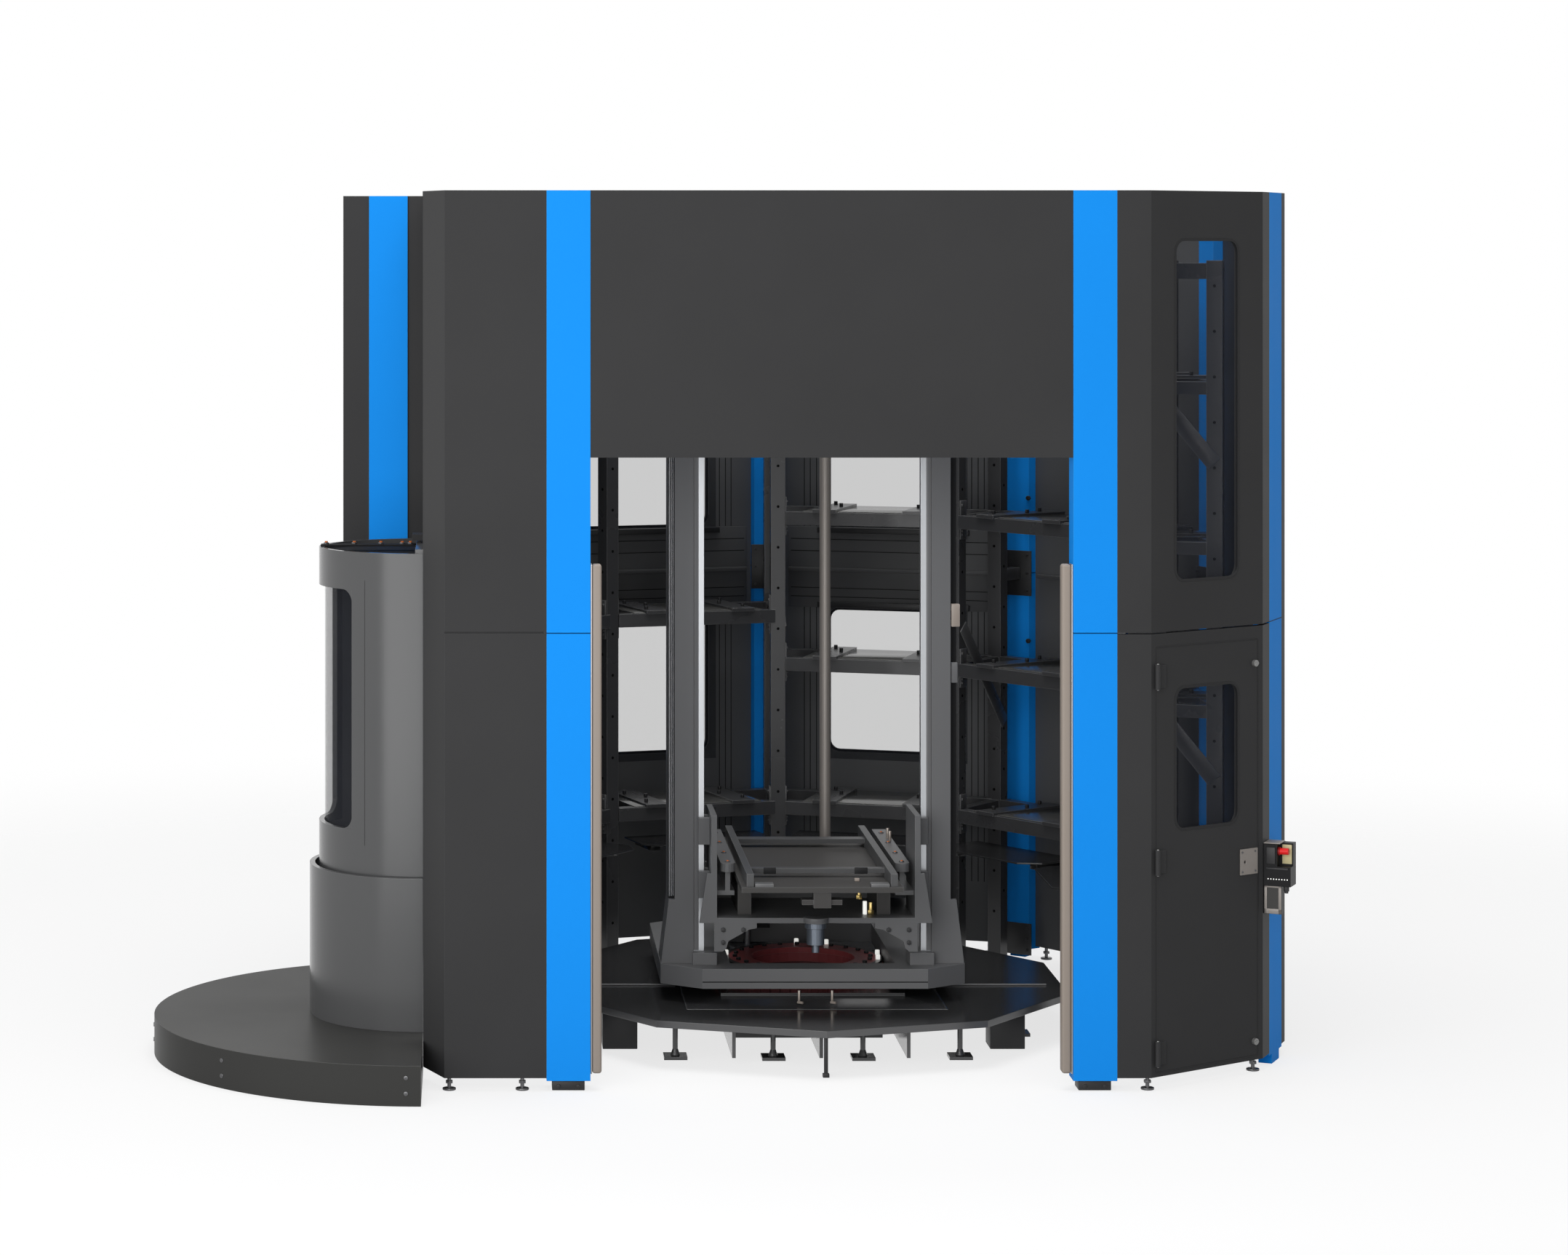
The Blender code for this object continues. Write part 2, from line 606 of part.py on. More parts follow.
half_disc = arc(PLATFORM_RADIUS, math.pi / 2, 3 * math.pi / 2, 48)
platform = part("station_platform", prism(half_disc, 0, PLATFORM_TOP), STEP_GREY,
                (STATION_X - GAP, STATION_Y, 0))
platform_notch = slab((STATION_BACK_EDGE - 2 * GAP - STATION_X, LAP),
                      (STATION_BACK_Y - GAP - STATION_Y, PLATFORM_RADIUS + LAP), (-LAP, PLATFORM_TOP + LAP))
cut(platform, platform_notch, "platform_notch")

lower_arc = arc(LOWER_WALL_RADIUS, math.pi / 2, 3 * math.pi / 2, 24)
part("station_lower_wall", prism(ribbon(lower_arc, ROTOR_WALL), PLATFORM_TOP + GAP, LOWER_WALL_TOP),
     STATION_GREY, (STATION_X - GAP, STATION_Y, 0), smooth=40)

station_axis = anchor("station_door_axis", (STATION_X, STATION_Y, 0))
rotor_arc = arc(ROTOR_RADIUS, math.pi / 2, 3 * math.pi / 2, 24)
rotor_shell = prism(ribbon(rotor_arc, ROTOR_WALL), *ROTOR_HEIGHT)
yoke_reach = ROTOR_RADIUS - YOKE_INSET
yoke = slab((-YOKE_HALF, YOKE_HALF), (-yoke_reach, yoke_reach), YOKE_HEIGHT)
rotor = part("station_door", fused([rotor_shell, yoke]), STATION_GREY, (STATION_X, STATION_Y, 0),
             parent=station_axis, smooth=40)
yoke_bore = cylinder(PIVOT_RADIUS + PIVOT_PLAY, YOKE_HEIGHT[0] - LAP, YOKE_HEIGHT[1] + LAP, sides=16)
cut(rotor, yoke_bore, "yoke_bore")
sector = [(0.0, 0.0)] + arc(ROTOR_RADIUS + 2 * ROTOR_WALL, *ROTOR_WINDOW_SPAN, 12)
cut(rotor, prism(sector, *ROTOR_WINDOW), "rotor_window")
pane_start, pane_stop = ROTOR_WINDOW_SPAN[0] - ROTOR_PANE_LAP, ROTOR_WINDOW_SPAN[1] + ROTOR_PANE_LAP
pane_arc = arc(ROTOR_RADIUS - ROTOR_WALL - ROTOR_PANE_GAP, pane_start, pane_stop, 16)
rotor_pane = prism(ribbon(pane_arc, PANE), ROTOR_WINDOW[0] - PANE_LAP, ROTOR_WINDOW[1] + PANE_LAP)
part("station_door_pane", rotor_pane, CLEAR, (STATION_X, STATION_Y, 0), parent=station_axis, smooth=40)

# Floor pan on its feet and ribs, and the pedestal and plate under the mast
pan_points = arc(PAN_RADIUS, -math.pi / 2, 3 * math.pi / 2, SIDES)[:-1]
pan_shapes = [prism(pan_points, *PAN_HEIGHT)]
for x, y in [(sx * x, sy * y) for x, y in PAN_FEET for sx in (-1, 1) for sy in (-1, 1)]:
    pan_shapes.append(slab((x - PAD_HALF, x + PAD_HALF), (y - PAD_HALF, y + PAD_HALF), (0, PAD_THICK)))
    pan_shapes.append(cylinder(BOSS_RADIUS, PAD_THICK / 2, BOSS_TOP, x, y, 12, STEM_RADIUS))
    pan_shapes.append(cylinder(STEM_RADIUS, BOSS_TOP - LAP, PAN_HEIGHT[0] + LAP, x, y, 10))
for x in RIB_PLACES:
    for y in (RIB_SPAN, (-RIB_SPAN[1], -RIB_SPAN[0])):
        pan_shapes.append(slab((x - RIB_HALF, x + RIB_HALF), y, (RIB_FOOT, PAN_HEIGHT[0] + LAP)))
part("floor_pan", fused(pan_shapes), PAN_BLACK)
pedestal_plate = slab((-PEDESTAL_HALF, PEDESTAL_HALF), (-PEDESTAL_HALF, PEDESTAL_HALF), (0, PEDESTAL_PLATE))
pedestal_column = cylinder(PEDESTAL_RADIUS, PEDESTAL_PLATE - LAP, PAN_HEIGHT[0] - GAP)
part("slew_pedestal", fused([pedestal_plate, pedestal_column]), MAST_GREY)
plate_y = SLEW_PLATE_HALF * SLEW_STRETCH
plate_top = slab((-SLEW_PLATE_HALF, SLEW_PLATE_HALF), (-plate_y, plate_y), (SLEW_PLATE_FOOT, SLEW_PLATE_TOP))
plate_slope = cylinder(SLEW_SLOPE_HALF * math.sqrt(2), PAN_HEIGHT[1] + GAP, SLEW_PLATE_FOOT + LAP / 2,
                       sides=4, top_radius=(SLEW_PLATE_HALF - LAP) * math.sqrt(2))
plate_slope = moved(turned(plate_slope, math.pi / 4), Matrix.Diagonal((1.0, SLEW_STRETCH, 1.0, 1.0)))
part("slew_plate", fused([plate_top, plate_slope]), MAST_GREY)


def gear_outline(teeth, first_tooth):
    """A toothed outline: straight-sided teeth on the pitch circle, one of them centred on first_tooth."""
    pitch_radius = GEAR_MODULE * teeth / 2
    root = pitch_radius - TOOTH_DEPTH[0]
    tip = pitch_radius + TOOTH_DEPTH[1]
    points = []
    for tooth in range(teeth):
        middle = first_tooth + 2 * math.pi * tooth / teeth
        for radius, half in ((root, 1.5 * TOOTH_HALF), (tip, TOOTH_HALF)):
            points.append((radius, middle - half / radius))
        for radius, half in ((tip, TOOTH_HALF), (root, 1.5 * TOOTH_HALF)):
            points.append((radius, middle + half / radius))
    return [(radius * math.cos(a), radius * math.sin(a)) for radius, a in points]


ring_outline = gear_outline(RING_TEETH, PINION_ANGLE)
ring = part("ring_gear", prism(ring_outline, SLEW_PLATE_TOP + GAP, RING_TOP), GEAR_RED)
cut(ring, cylinder(RING_BORE, SLEW_PLATE_TOP - LAP, RING_TOP + LAP, sides=32), "ring_bore")

# Slewing mast: base frame, inner ring, columns with rails at the front, top beam, drives
mast_axis = anchor("mast_axis", (0, 0, 0))
chamfer = (BASE_HALF_X - BASE_FRONT_HALF) * math.tan(PITCH)
base_corner = BASE_HALF_Y - chamfer
base_points = [(BASE_FRONT_HALF, -BASE_HALF_Y), (BASE_HALF_X, -base_corner), (BASE_HALF_X, base_corner),
               (BASE_FRONT_HALF, BASE_HALF_Y)]
base_points += [(-x, y) for x, y in base_points[::-1]]
spindle_block = cylinder(SPINDLE_BLOCK_RADIUS, BASE_HEIGHT[1] - LAP, SPINDLE_BLOCK_TOP, SPINDLE_X, SPINDLE_Y)
base = part("slew_base_frame", fused([prism(base_points, *BASE_HEIGHT), spindle_block]), MAST_GREY,
            parent=mast_axis)
base_opening = slab((-BASE_OPENING[0], BASE_OPENING[0]), (-BASE_OPENING[1], BASE_OPENING[1]),
                    (BASE_HEIGHT[0] - LAP, BASE_HEIGHT[1] + LAP))
cut(base, base_opening, "base_opening")
inner_ring = part("slew_inner_ring", cylinder(INNER_RING_RADIUS, RING_TOP + GAP, INNER_RING_TOP, sides=48),
                  GEAR_RED, parent=mast_axis, smooth=40)
cut(inner_ring, cylinder(RING_BORE, RING_TOP - LAP, INNER_RING_TOP + LAP, sides=32), "inner_ring_bore")

mast_foot = BASE_HEIGHT[1] + GAP
foot_outline = [(MAST_SPAN[0], mast_foot), (MAST_FOOT_OUT[0], mast_foot), (MAST_FOOT_OUT[1], MAST_FOOT_TOP),
                (MAST_SPAN[0], MAST_FOOT_TOP)]
cover_span = (MAST_SPAN[1] - LAP, MAST_COVER_OUT)
column = fused([slab(MAST_SPAN, MAST_DEPTH, (mast_foot + LAP, MAST_TOP)),
                upright_prism(foot_outline, *MAST_DEPTH),
                slab(cover_span, MAST_COVER_DEPTH, (MAST_FOOT_TOP - 2 * LAP, MAST_TOP)),
                slab(RAIL_BLOCK_SPAN, RAIL_BLOCK_DEPTH, (mast_foot, RAIL_BLOCK_TOP))])
rail = slab((RAIL_IN, MAST_SPAN[0] - GAP), RAIL_DEPTH, (RAIL_BLOCK_TOP + GAP, RAIL_TOP))
for name, shaft, guide in (("left", mirrored(column), mirrored(rail)), ("right", column, rail)):
    part(f"mast_column_{name}", shaft, MAST_GREY, parent=mast_axis)
    part(f"guide_rail_{name}", guide, STEEL, parent=mast_axis)

beam_height = (MAST_TOP + GAP, MAST_TOP + BEAM_HEIGHT)
arm_height = (MAST_TOP + 2 * BEAM_ARM_INSET, MAST_TOP + BEAM_HEIGHT - BEAM_ARM_INSET)
beam = slab((-MAST_SPAN[1], MAST_SPAN[1]), BEAM_DEPTH, beam_height)
beam_arm = slab((SPINDLE_X - SPINDLE_ARM_HALF, SPINDLE_X + SPINDLE_ARM_HALF),
                (BEAM_DEPTH[1] - LAP, SPINDLE_Y + SPINDLE_ARM_HALF), arm_height)
part("mast_top_beam", fused([beam, beam_arm]), MAST_GREY, parent=mast_axis)
(motor_radius, motor_top), (cap_radius, cap_top) = LIFT_MOTOR
motor_can = cylinder(motor_radius, arm_height[1] + GAP, motor_top, SPINDLE_X, SPINDLE_Y)
motor_cap = cylinder(cap_radius, motor_top - LAP, cap_top, SPINDLE_X, SPINDLE_Y)
part("lift_motor", fused([motor_can, motor_cap]), BLACK, parent=mast_axis, smooth=40)
spindle_axis = anchor("spindle_axis", (SPINDLE_X, SPINDLE_Y, 0), mast_axis)
part("lift_spindle", cylinder(SPINDLE_RADIUS, SPINDLE_BLOCK_TOP + GAP, arm_height[0] - GAP), STEEL,
     (SPINDLE_X, SPINDLE_Y, 0), parent=spindle_axis, smooth=40)

centre_distance = GEAR_MODULE * (RING_TEETH + PINION_TEETH) / 2 + CENTRE_PLAY
pinion_spot = (centre_distance * math.cos(PINION_ANGLE), centre_distance * math.sin(PINION_ANGLE), 0)
pinion_axis = anchor("pinion_axis", pinion_spot, mast_axis)
facing_gap = PINION_ANGLE + math.pi + math.pi / PINION_TEETH
pinion_outline = gear_outline(PINION_TEETH, facing_gap)
pinion_wheel = prism(pinion_outline, SLEW_PLATE_TOP + PINION_INSET, RING_TOP - PINION_INSET)
pinion_shaft = cylinder(PINION_SHAFT, RING_TOP - LAP, BASE_HEIGHT[1], sides=16)
part("slew_pinion", fused([pinion_wheel, pinion_shaft]), STEEL, pinion_spot, parent=pinion_axis)
motor_flange = cube((*SLEW_FLANGE[0], mast_foot), (*SLEW_FLANGE[1], BASE_HEIGHT[1] + SLEW_FLANGE_THICK))
slew_can = cylinder(SLEW_MOTOR_RADIUS, BASE_HEIGHT[1] + LAP, SLEW_MOTOR_TOP)
part("slew_motor", fused([motor_flange, slew_can]), BLACK, pinion_spot, parent=mast_axis, smooth=40)

# Lift carriage between the rails, with its pallet pads, the fork table and the fork motor
carriage_axis = anchor("carriage_axis", (0, 0, 0), mast_axis)
front = CARRIAGE_DEPTH[0]
plate_half = SIDE_SPAN[1] - LAP / 2
wing_in = SIDE_SPAN[1] - LAP
wing_outline = [(wing_in, CARRIAGE_PLATE[0]), (WING_OUT[0], CARRIAGE_PLATE[0]), (WING_OUT[1], WING_TOP),
                (wing_in, WING_TOP)]
pad_radius = (PAD_RAIL_SPAN[1] - PAD_RAIL_SPAN[0]) / 2
pad_middle = (PAD_RAIL_SPAN[0] + pad_radius, PAD_RAIL_DEPTH[0] + pad_radius)
pad_nose = arc(pad_radius, math.pi, 2 * math.pi, 8, *pad_middle)
pad_outline = pad_nose + [(PAD_RAIL_SPAN[1], PAD_RAIL_DEPTH[1]), (PAD_RAIL_SPAN[0], PAD_RAIL_DEPTH[1])]
side_shapes = [slab(SIDE_SPAN, (front, SIDE_BACK), (CARRIAGE_PLATE[0], SIDE_TOP)),
               upright_prism(wing_outline, front, front + WING_THICK),
               upright_prism(BRACKET_OUTLINE, front, front + WING_THICK),
               slab((PAD_BASE_IN, SIDE_SPAN[0] + LAP), PAD_LEG_DEPTH, PAD_BASE_HEIGHT),
               slab(PAD_LEG_SPAN, PAD_LEG_DEPTH, (PAD_BASE_HEIGHT[0] + LAP, PAD_RAIL_HEIGHT[0] + LAP)),
               prism(pad_outline, *PAD_RAIL_HEIGHT)]
for z in SHOE_LEVELS:
    near, far = RAIL_DEPTH[0] - SHOE_PLAY, RAIL_DEPTH[1] + SHOE_PLAY
    for y in ((near - SHOE_THICK, near), (far, far + SHOE_THICK)):
        side_shapes.append(slab((SIDE_SPAN[1] - LAP, SHOE_OUT), y, z))
back_plate = slab((-plate_half, plate_half), BACK_PLATE_DEPTH,
                  (CARRIAGE_PLATE[1] - LAP, TABLE_HEIGHT[0] - GAP))
nut_arm = slab((SPINDLE_X - NUT_ARM_HALF, SPINDLE_X + NUT_ARM_HALF),
               (BACK_PLATE_DEPTH[1] - LAP, SPINDLE_Y + NUT_ARM_HALF + LAP), NUT_ARM_HEIGHT)
nut = cylinder(NUT_RADIUS, NUT_ARM_HEIGHT[1] - LAP, NUT_TOP, SPINDLE_X, SPINDLE_Y)
carriage_plate = slab((-plate_half, plate_half), CARRIAGE_DEPTH, CARRIAGE_PLATE)
carriage = part("carriage_frame", fused([carriage_plate, back_plate, nut_arm, nut] + both_sides(side_shapes)),
                MAST_GREY, parent=carriage_axis)
nut_bore = cylinder(SPINDLE_RADIUS + SPINDLE_PLAY, NUT_ARM_HEIGHT[0] - LAP, NUT_TOP + LAP,
                    SPINDLE_X, SPINDLE_Y)
cut(carriage, nut_bore, "nut_bore")
table_top = slab((-TABLE_HALF, TABLE_HALF), TABLE_DEPTH, TABLE_HEIGHT)
table_leg = slab(TABLE_LEG_SPAN, TABLE_LEG_DEPTH, (CARRIAGE_PLATE[1] + GAP, TABLE_HEIGHT[0] + LAP))
drive_block = slab((-DRIVE_BLOCK_HALF, DRIVE_BLOCK_HALF), DRIVE_BLOCK_DEPTH,
                   (DRIVE_BLOCK_FOOT, TABLE_HEIGHT[0] + LAP))
drive_bar = slab((-DRIVE_BAR_HALF, DRIVE_BAR_HALF), (DRIVE_BLOCK_DEPTH[0] + LAP, DRIVE_BLOCK_DEPTH[1] + LAP),
                 DRIVE_BAR_HEIGHT)
part("fork_table", fused([table_top, drive_block, drive_bar] + both_sides([table_leg])), MAST_GREY,
     parent=carriage_axis)
motor_shapes = []
upper_z = CARRIAGE_PLATE[0] - GAP
for radius, z in FORK_MOTOR:
    motor_shapes.append(cylinder(radius, z, upper_z, 0, FORK_MOTOR_Y))
    upper_z = z + LAP
part("fork_motor", fused(motor_shapes), BLACK, parent=carriage_axis, smooth=40)

fork_axis = anchor("fork_axis", (0, 0, 0), carriage_axis)
fork_rail = slab(FORK_RAIL_SPAN, FORK_RAIL_DEPTH, (TABLE_HEIGHT[1] + GAP, FORK_RAIL_TOP))
bar_half = FORK_RAIL_SPAN[0] + LAP
fork_bars = [slab((-bar_half, bar_half), y, CROSSBAR_HEIGHT) for y in (CROSSBAR_DEPTH, REAR_BAR_DEPTH)]
part("transfer_fork", fused(fork_bars + both_sides([fork_rail])), MAST_GREY, parent=fork_axis)


# Rack: six radial frames with the shelves of the bay beside each
def rack_section(degrees, levels, has_bay):
    """One radial rack frame and the shelves of the bay beside it, as one welded piece."""
    shapes = []
    for radius in (POST_INNER, POST_OUTER):
        shaft, foot = POST / 2, POST_FOOT_HALF
        shaft_height = (POST_FOOT_THICK - LAP / 2, POST_TOP)
        shapes.append(slab((radius - shaft, radius + shaft), (-shaft, shaft), shaft_height))
        shapes.append(slab((radius - foot, radius + foot), (-foot, foot), (0, POST_FOOT_THICK)))
    arms = [(level - ARM_BELOW[0], level - ARM_BELOW[1]) for level in levels]
    arms.append((POST_TOP - TOP_ARM_BELOW[0], POST_TOP - TOP_ARM_BELOW[1]))
    for z in arms:
        shapes.append(slab((POST_INNER, POST_OUTER), (-ARM_HALF, ARM_HALF), z))
    inner, outer = POST_INNER * math.cos(HALF_PITCH), POST_OUTER * math.cos(HALF_PITCH)
    for level in levels if has_bay else ():
        for radius in (POST_INNER, POST_OUTER):
            middle, span = radius * math.cos(HALF_PITCH), radius * math.sin(HALF_PITCH)
            rail = slab((middle - SHELF_RAIL[0] / 2, middle + SHELF_RAIL[0] / 2),
                        (-span, span - SHELF_RAIL_SHORT), (level - SHELF_RAIL[1], level))
            shapes.append(turned(rail, HALF_PITCH))
        for y in SHELF_PLATES:
            plate = slab((inner - SHELF_PLATE_LAP[0], outer + SHELF_PLATE_LAP[1]), y,
                         (level - SHELF_PLATE_SINK, level + SHELF_PLATE))
            shapes.append(turned(plate, HALF_PITCH))
    part(f"rack_section_{degrees}".replace("-", "m"), fused(shapes), RACK_GREY, turn=math.radians(degrees))


for degrees, levels in RACK_LEVELS.items():
    rack_section(degrees, levels, degrees != LAST_RACK)

# Service door with its pane, latches and handle, and the guard lock beside it
hinge_spot = along(along(facet_start, facet_way, HINGE_T), facet_out, HINGE_OUT)
door_axis = anchor("service_door_axis", (*hinge_spot, 0))
door_shapes = [slab(DOOR_SPAN, (0, SHEET), DOOR_HEIGHT)]
for z in HINGE_LEVELS:
    door_shapes.append(cylinder(HINGE_RADIUS, z - HINGE_HALF, z + HINGE_HALF, HINGE_T, -HINGE_OUT, 12))
    leaf_height = (z - LEAF_HALF, z + LEAF_HALF)
    for span, depth in ((LEAF_SPAN, LEAF_DEPTH), (KNUCKLE_SPAN, KNUCKLE_DEPTH)):
        door_shapes.append(slab((HINGE_T + span[0], HINGE_T + span[1]), depth, leaf_height))
door = part("service_door", fused(door_shapes), ANTHRACITE, (*facet_start, 0), facet_turn, door_axis)
cut(door, rounded_window(*FACET_WINDOW, *DOOR_WINDOW, WINDOW_RADIUS, 3 * SHEET), "door_window")
door_pane = slab(pane_span, pane_depth, (DOOR_WINDOW[0] - PANE_LAP, DOOR_WINDOW[1] + PANE_LAP))
part("service_door_pane", door_pane, CLEAR, (*facet_start, 0), facet_turn, door_axis)
handle_plate = slab(HANDLE_SPAN, (-HANDLE_PLATE, -GAP), HANDLE_HEIGHT)
handle = part("door_handle", handle_plate, STAINLESS, (*facet_start, 0), facet_turn, door_axis)
handle_hole = moved(cylinder(HANDLE_HOLE_RADIUS, -LAP, HANDLE_PLATE + LAP, sides=16), lying)
cut(handle, moved(handle_hole, Matrix.Translation((HANDLE_HOLE[0], 0, HANDLE_HOLE[1]))), "handle_hole")
for name, z in LATCH_LEVELS.items():
    spot = (*along(facet_start, facet_way, LATCH_T), z)
    latch_axis = anchor(f"{name}_axis", spot, door_axis)
    dial = moved(cylinder(LATCH_RADIUS, GAP, LATCH_DEPTH, sides=20), lying)
    bar = slab((-LATCH_BAR[0], LATCH_BAR[0]), (-LATCH_BAR[1], -LATCH_DEPTH / 2),
               (-LATCH_BAR[2], LATCH_BAR[2]))
    part(name, fused([dial, bar]), STAINLESS, spot, facet_turn, latch_axis)

lock_body = slab(LOCK_SPAN, (-LOCK_DEPTH, -GAP), LOCK_HEIGHT)
grip = slab(GRIP_SPAN, (-GRIP_DEPTH, -2 * GAP), GRIP_HEIGHT)
lock = part("guard_lock", fused([lock_body, grip]), BLACK, (*facet_end, 0), corner_turn)
lock_step = slab((LOCK_SPAN[0] - LAP, LOCK_STEP_T), (-LOCK_DEPTH - LAP, -LOCK_STEP_DEPTH),
                 (LOCK_STEP_FOOT, LOCK_HEIGHT[1] + LAP))
cut(lock, lock_step, "lock_step")
bore_depth = (LOCK_STEP_DEPTH - KNOB_BORE_DEPTH, LOCK_STEP_DEPTH + LAP)
knob_bore = moved(cylinder(KNOB_RADIUS + KNOB_PLAY, *bore_depth, sides=20), lying)
cut(lock, moved(knob_bore, Matrix.Translation((KNOB_T, 0, KNOB_Z))), "knob_bore")
knob_spot = (*along(facet_end, corner_way, KNOB_T), KNOB_Z)
knob_axis = anchor("release_knob_axis", knob_spot)
knob_ends = (LOCK_STEP_DEPTH + KNOB_REACH[0], LOCK_STEP_DEPTH + KNOB_REACH[1])
knob = moved(cylinder(KNOB_RADIUS, *knob_ends, sides=20), lying)
part("release_knob", knob, RED, knob_spot, corner_turn, knob_axis, 40)
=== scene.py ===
import math

import bmesh
import bpy
from mathutils import Matrix, Vector


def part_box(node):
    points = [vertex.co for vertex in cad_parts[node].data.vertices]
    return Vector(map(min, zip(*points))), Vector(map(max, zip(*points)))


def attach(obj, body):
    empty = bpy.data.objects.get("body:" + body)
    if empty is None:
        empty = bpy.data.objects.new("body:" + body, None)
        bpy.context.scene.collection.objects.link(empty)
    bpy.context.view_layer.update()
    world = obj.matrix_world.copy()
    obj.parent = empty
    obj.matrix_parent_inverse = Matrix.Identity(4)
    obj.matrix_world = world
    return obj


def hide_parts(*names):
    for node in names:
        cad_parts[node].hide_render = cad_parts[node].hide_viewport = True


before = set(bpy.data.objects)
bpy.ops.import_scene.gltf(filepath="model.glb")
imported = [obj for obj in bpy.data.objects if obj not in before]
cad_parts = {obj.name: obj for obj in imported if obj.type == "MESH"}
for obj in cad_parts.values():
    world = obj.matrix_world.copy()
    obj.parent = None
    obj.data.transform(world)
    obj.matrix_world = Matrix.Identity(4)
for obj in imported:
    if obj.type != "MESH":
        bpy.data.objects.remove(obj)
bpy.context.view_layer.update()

# The camera stands far in front of the docking side, left of its middle and at the height of the tower's top.
# It looks straight ahead, so that upright edges stay upright, and its picture is shifted down and aside.
image_width, image_height = 2156, 1725
focal_length = 5290
level_point = (649, 352)
camera_place = (-1.279, -14.884, 2.966)
camera_data = bpy.data.cameras.new("photograph")
camera_data.sensor_width = 36.0
camera_data.lens = camera_data.sensor_width * focal_length / image_width
camera_data.shift_x = 0.5 - level_point[0] / image_width
camera_data.shift_y = (level_point[1] - image_height / 2) / image_width
camera = bpy.data.objects.new("photograph", camera_data)
camera.location = camera_place
camera.rotation_euler = (math.pi / 2, 0.0, 0.0)
bpy.context.scene.collection.objects.link(camera)
bpy.context.scene.camera = camera

# The studio is a pale floor that fades into a white surround, with one wide soft panel in front on the
# left and one above, as the even grey of the front and the darker right side show. The floor is seen
# nearly white, but throws less light back, so that the shaded side of the tower stays dark.
floor_size = 40.0
floor_seen = (1.0, 1.0, 1.0, 1.0)
floor_lit = (0.42, 0.42, 0.42, 1.0)
floor_glow = 0.75
fade_start, fade_end = 4.0, 8.5
surround_white = (1.0, 1.0, 1.0, 1.0)
surround_light = 0.34
front_panel = {"place": (-4.2, -9.5, 2.9), "aim": (-0.2, 0.0, 1.3), "size": (9.5, 7.8), "power": 710}
top_panel = {"place": (0.0, -0.5, 9.0), "aim": (0.0, 0.0, 0.0), "size": (6.0, 6.0), "power": 480}


def add_node(tree, kind, operation=None, values=None):
    """Add a shader node with its operation and its input values. A mix node mixes colours."""
    node = tree.nodes.new("ShaderNode" + kind)
    if kind == "Mix":
        node.data_type = "RGBA"
    if operation:
        node.operation = operation
    for socket, value in (values or {}).items():
        node.inputs[socket].default_value = value
    return node


def join(tree, *wires):
    """Link nodes, each wire given as a node, its output, the next node and its input."""
    for source, output, target, socket in wires:
        tree.links.new(source.outputs[output], target.inputs[socket])


def seen_rays(tree):
    """A mask of the rays that show a surface directly, in gloss or through glass."""
    ray = add_node(tree, "LightPath")
    camera_or_glossy = add_node(tree, "Math", "MAXIMUM")
    any_seen = add_node(tree, "Math", "MAXIMUM")
    join(tree, (ray, "Is Camera Ray", camera_or_glossy, 0), (ray, "Is Glossy Ray", camera_or_glossy, 1),
         (camera_or_glossy, 0, any_seen, 0), (ray, "Is Transmission Ray", any_seen, 1))
    return any_seen


bpy.context.scene.view_settings.view_transform = "Standard"
surround = bpy.data.worlds.new("studio")
bpy.context.scene.world = surround
surround.use_nodes = True
tree = surround.node_tree
lit = tree.nodes["Background"]
lit.inputs["Strength"].default_value = surround_light
lit.inputs["Color"].default_value = surround_white
white = add_node(tree, "Background", values={"Color": surround_white})
choice = add_node(tree, "MixShader")
join(tree, (seen_rays(tree), 0, choice, "Fac"), (lit, 0, choice, 1), (white, 0, choice, 2),
     (choice, 0, tree.nodes["World Output"], "Surface"))

floor_mesh = bmesh.new()
bmesh.ops.create_grid(floor_mesh, x_segments=1, y_segments=1, size=floor_size / 2)
floor_data = bpy.data.meshes.new("studio_floor")
floor_mesh.to_mesh(floor_data)
floor_mesh.free()
floor = bpy.data.objects.new("studio_floor", floor_data)
bpy.context.scene.collection.objects.link(floor)
floor_look = bpy.data.materials.new("studio_floor")
floor_look.use_nodes = True
tree = floor_look.node_tree
matte = tree.nodes["Principled BSDF"]
matte.inputs["Roughness"].default_value = 0.9
matte.inputs["Specular IOR Level"].default_value = 0.1
seen = seen_rays(tree)
floor_shade = add_node(tree, "Mix", values={"A": floor_lit, "B": floor_seen})
glow_part = add_node(tree, "Math", "MULTIPLY", {1: floor_glow})
white = add_node(tree, "Emission")
glowing = add_node(tree, "MixShader")
spot = add_node(tree, "TexCoord")
reach = add_node(tree, "VectorMath", "LENGTH")
fade = add_node(tree, "MapRange", values={"From Min": fade_start, "From Max": fade_end})
fade.interpolation_type = "SMOOTHSTEP"
clear = add_node(tree, "BsdfTransparent")
faded = add_node(tree, "MixShader")
join(tree, (seen, 0, floor_shade, "Factor"), (floor_shade, "Result", matte, "Base Color"),
     (seen, 0, glow_part, 0), (glow_part, 0, glowing, "Fac"), (matte, 0, glowing, 1), (white, 0, glowing, 2),
     (spot, "Object", reach, 0), (reach, "Value", fade, "Value"), (fade, "Result", faded, "Fac"),
     (glowing, 0, faded, 1), (clear, 0, faded, 2), (faded, 0, tree.nodes["Material Output"], "Surface"))
floor_data.materials.append(floor_look)

for name, panel in (("front_panel", front_panel), ("top_panel", top_panel)):
    lamp_data = bpy.data.lights.new(name, "AREA")
    lamp_data.shape = "RECTANGLE"
    lamp_data.size, lamp_data.size_y = panel["size"]
    lamp_data.energy = panel["power"]
    lamp = bpy.data.objects.new(name, lamp_data)
    lamp.location = panel["place"]
    lamp.rotation_euler = (Vector(panel["aim"]) - Vector(panel["place"])).to_track_quat("-Z", "Y").to_euler()
    lamp.visible_camera = False
    bpy.context.scene.collection.objects.link(lamp)

